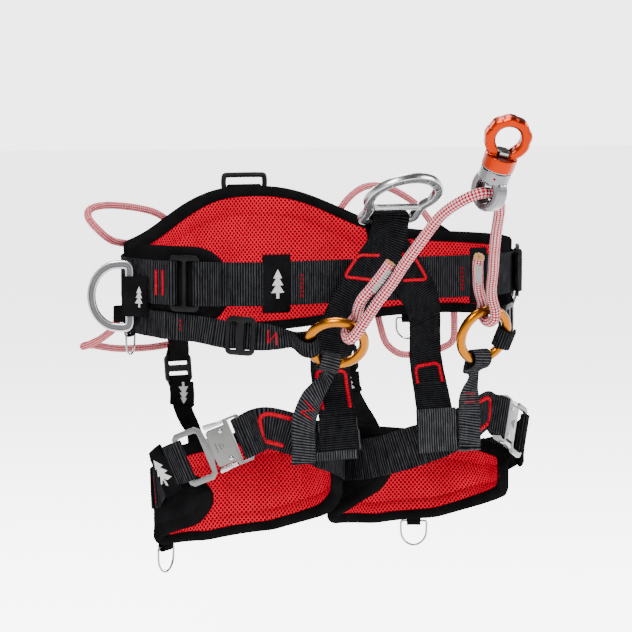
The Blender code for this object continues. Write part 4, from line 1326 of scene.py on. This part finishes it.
def leg_parts():
    for tag, side in SIDES:
        centre = LEG_CENTRE[tag]
        pad_pieces(f"leg_pad_{tag}", f"leg_pad_{tag}", f"leg_pad_{tag}", centre, (0.022, 0.026))
        strap = webbing(f"leg_strap_{tag}", BELT_WEB)
        near, far = strap.length * 0.235, strap.length * 0.345
        hook = [(far, -0.0145), (near, -0.0145), (near, 0.0145), (far, 0.0145)]
        tack(f"leg_strap_hook_{tag}", strap, hook, unit((side * 0.20, -1.0, 0)), 0.0044, 0.0014,
             bend=0.008)
        tail = webbing(f"leg_tail_strap_{tag}", BELT_WEB)
        middle = tail.near((side * 0.2245, -0.0620, -0.1960))
        keeper(f"leg_keeper_{tag}", tail, middle, 0.026, out=0.0036, back=0.0030, margin=0.0045)
        label(f"leg_keeper_mark_{tag}", tail, middle, 0.0, (side, -0.2, 0), 0.0038, turn=0, size=1.7)
        end = tail.near((side * 0.2115, -0.010, -0.2200))
        keeper(f"leg_strap_end_{tag}", tail, end, 0.018, out=0.0032, back=0.0020, margin=0.0010,
               finish=BELT_WEB)
        stitch_row(f"leg_strap_end_stitches_{tag}", tail, (end, -0.016), (end, 0.016),
                   (side, -0.2, 0), lift=0.0021, width=0.0011)
        riser = webbing(f"riser_{tag}", LIGHT_WEB)
        zed(riser, f"riser_zed_{tag}", (side * 0.1010, -0.1445, -0.1290))
        machined(f"leg_buckle_male_{tag}", BUCKLE, 0.0010, 4)
        machined(f"leg_buckle_female_{tag}", BUCKLE, 0.0011, 4)
        for name in ("upper", "lower"):
            machined(f"leg_buckle_lever_{name}_{tag}", ALLOY, 0.0008, 3)
        buckle_details(tag, side)


def zed(band, name, point):
    """Two short bars joined by a slanting one, across a strap."""
    s = band.near(point)
    out = FRONT
    for number, shift in ((1, -0.0055), (2, 0.0055)):
        tack(f"{name}_{number}", band, [(s + shift, -0.0080), (s + shift, 0.0080)], out, 0.0016, 0.0007)
    tack(f"{name}_slant", band, [(s - 0.005, -0.0070), (s + 0.005, 0.0070)], out, 0.0009, 0.0006)


def buckle_details(tag, side):
    """Rivets and a generic raised arrow on the buckle's female half."""
    name = f"leg_buckle_lever_upper_{tag}"
    face = unit(JOINT[f"{name}_press"]["axis"])
    face = face if face[1] < 0 else -face
    ahead = unit(np.array([side * 0.778, 0.501, -0.38]))
    low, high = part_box(f"leg_buckle_female_{tag}")
    levers = [np.array(JOINT[f"leg_buckle_lever_{way}_{tag}_press"]["pos_m"]) for way in ("upper", "lower")]
    axis = (levers[0] + levers[1]) / 2 + ahead * 0.0155
    place = frame_at(axis, ahead, face)
    turns = np.radians(np.arange(0, 360, 22.5))
    rivets = []
    for x, y in ((-0.0125, 0.0150), (-0.0125, -0.0150)):
        rings = [[place @ Vector((x + r * math.cos(a), y + r * math.sin(a), z)) for a in turns]
                 for r, z in ((0.0024, 0.0042), (0.0024, 0.0050), (0.0018, 0.0056), (0.0006, 0.0058))]
        rivets.append(skin(rings))
    settle(make(f"leg_buckle_rivets_{tag}", merged(rivets), ALLOY, 50), "harness", "polished_alloy")
    marks = [block(place, (-0.0030, -0.0050, 0.0042), (-0.0018, 0.0050, 0.00485)),
             block(place, (-0.0070, -0.0035, 0.0042), (-0.0058, 0.0035, 0.00485)),
             block(place, (-0.0100, -0.0018, 0.0042), (-0.0090, 0.0018, 0.00485))]
    settle(make(f"leg_buckle_marks_{tag}", merged(marks), DARK_ALLOY_AND_PAINTED_SHADE, 40), "harness", "grey_alloy")


def rear_parts():
    for tag, side in SIDES:
        machined(f"rear_buckle_{tag}", PLASTIC, 0.0008)
        webbing(f"rear_strap_upper_{tag}", NYLON)
        lower = webbing(f"rear_strap_lower_{tag}", NYLON)
        s = lower.near((side * 0.1100, 0.1250, -0.1420))
        keeper(f"rear_keeper_{tag}", lower, s, 0.026, out=0.0030, back=0.0030, margin=0.0030)
        out = np.array([0.0, -1.0, 0.0])
        label(f"rear_keeper_mark_{tag}", lower, s, 0.0, out, 0.0032, turn=90, size=1.5)
        label(f"rear_keeper_back_mark_{tag}", lower, s, 0.0, -out, 0.0032, turn=90, size=1.5)


# ---------------------------------------------------------------- stage


def studio_light():
    """A pale surround that is brightest round the horizon and dim overhead."""
    world = bpy.data.worlds.new("studio")
    bpy.context.scene.world = world
    world.use_nodes = True
    tree = world.node_tree
    split = tree.nodes.new("ShaderNodeSeparateXYZ")
    tree.links.new(tree.nodes.new("ShaderNodeTexCoord").outputs["Generated"], split.inputs[0])
    reach = tree.nodes.new("ShaderNodeMapRange")
    reach.interpolation_type = "SMOOTHSTEP"
    tree.links.new(split.outputs[2], reach.inputs["Value"])
    for name, number in (("From Min", 0.10), ("From Max", 0.34), ("To Min", HORIZON), ("To Max", 0.25)):
        reach.inputs[name].default_value = number
    glow = tree.nodes["Background"]
    glow.inputs["Color"].default_value = (1.0, 1.0, 1.0, 1.0)
    tree.links.new(reach.outputs[0], glow.inputs["Strength"])


def stage():
    mesh = bpy.data.meshes.new("floor")
    mesh.from_pydata([(x * 40.0, y * 40.0, FLOOR_Z) for x, y in ((-1, -1), (1, -1), (1, 1), (-1, 1))], [],
                     [(0, 1, 2, 3)])
    floor = bpy.data.objects.new("floor", mesh)
    bpy.context.scene.collection.objects.link(floor)
    paper = Finish("floor_paper", (0.9, 0.9, 0.9), 0.9)
    paper.put("Emission Color", (1.0, 1.0, 1.0, 1.0))
    paper.put("Emission Strength", FLOOR_GLOW)
    mesh.materials.append(paper.item)
    for name, spot, size, power in (("key", (-1.7, -2.0, 2.3), 1.3, 380.0),
                                    ("fill", (2.4, -1.4, 1.2), 1.6, 240.0),
                                    ("top", (0.3, 0.6, 2.8), 1.6, 240.0),
                                    ("rim", (-1.2, 2.4, 1.6), 1.2, 150.0)):
        lamp = bpy.data.lights.new(name, "AREA")
        lamp.shape = "DISK"
        lamp.size = size
        lamp.energy = power
        item = bpy.data.objects.new(name, lamp)
        item.location = spot
        item.rotation_euler = (-Vector(spot)).to_track_quat("-Z", "Y").to_euler()
        bpy.context.scene.collection.objects.link(item)


def camera():
    turn, rise = math.radians(CAMERA_TURN), math.radians(CAMERA_RISE)
    right = Vector((math.cos(turn), math.sin(turn), 0))
    toward = Vector((math.sin(turn) * math.cos(rise), -math.cos(turn) * math.cos(rise), math.sin(rise)))
    up = toward.cross(right)
    data = bpy.data.cameras.new("camera")
    data.lens = FOCAL
    data.sensor_width = 36.0
    item = bpy.data.objects.new("camera", data)
    item.location = right * AIM_RIGHT + up * AIM_UP + toward * CAMERA_AWAY
    item.rotation_euler = toward.to_track_quat("Z", "Y").to_euler()
    bpy.context.scene.collection.objects.link(item)
    bpy.context.scene.camera = item


camera()
studio_light()
stage()
cords()
waist_parts()
hip_parts()
back_parts()
bridge_parts()
swivel_parts()
chest_parts()
leg_parts()
rear_parts()
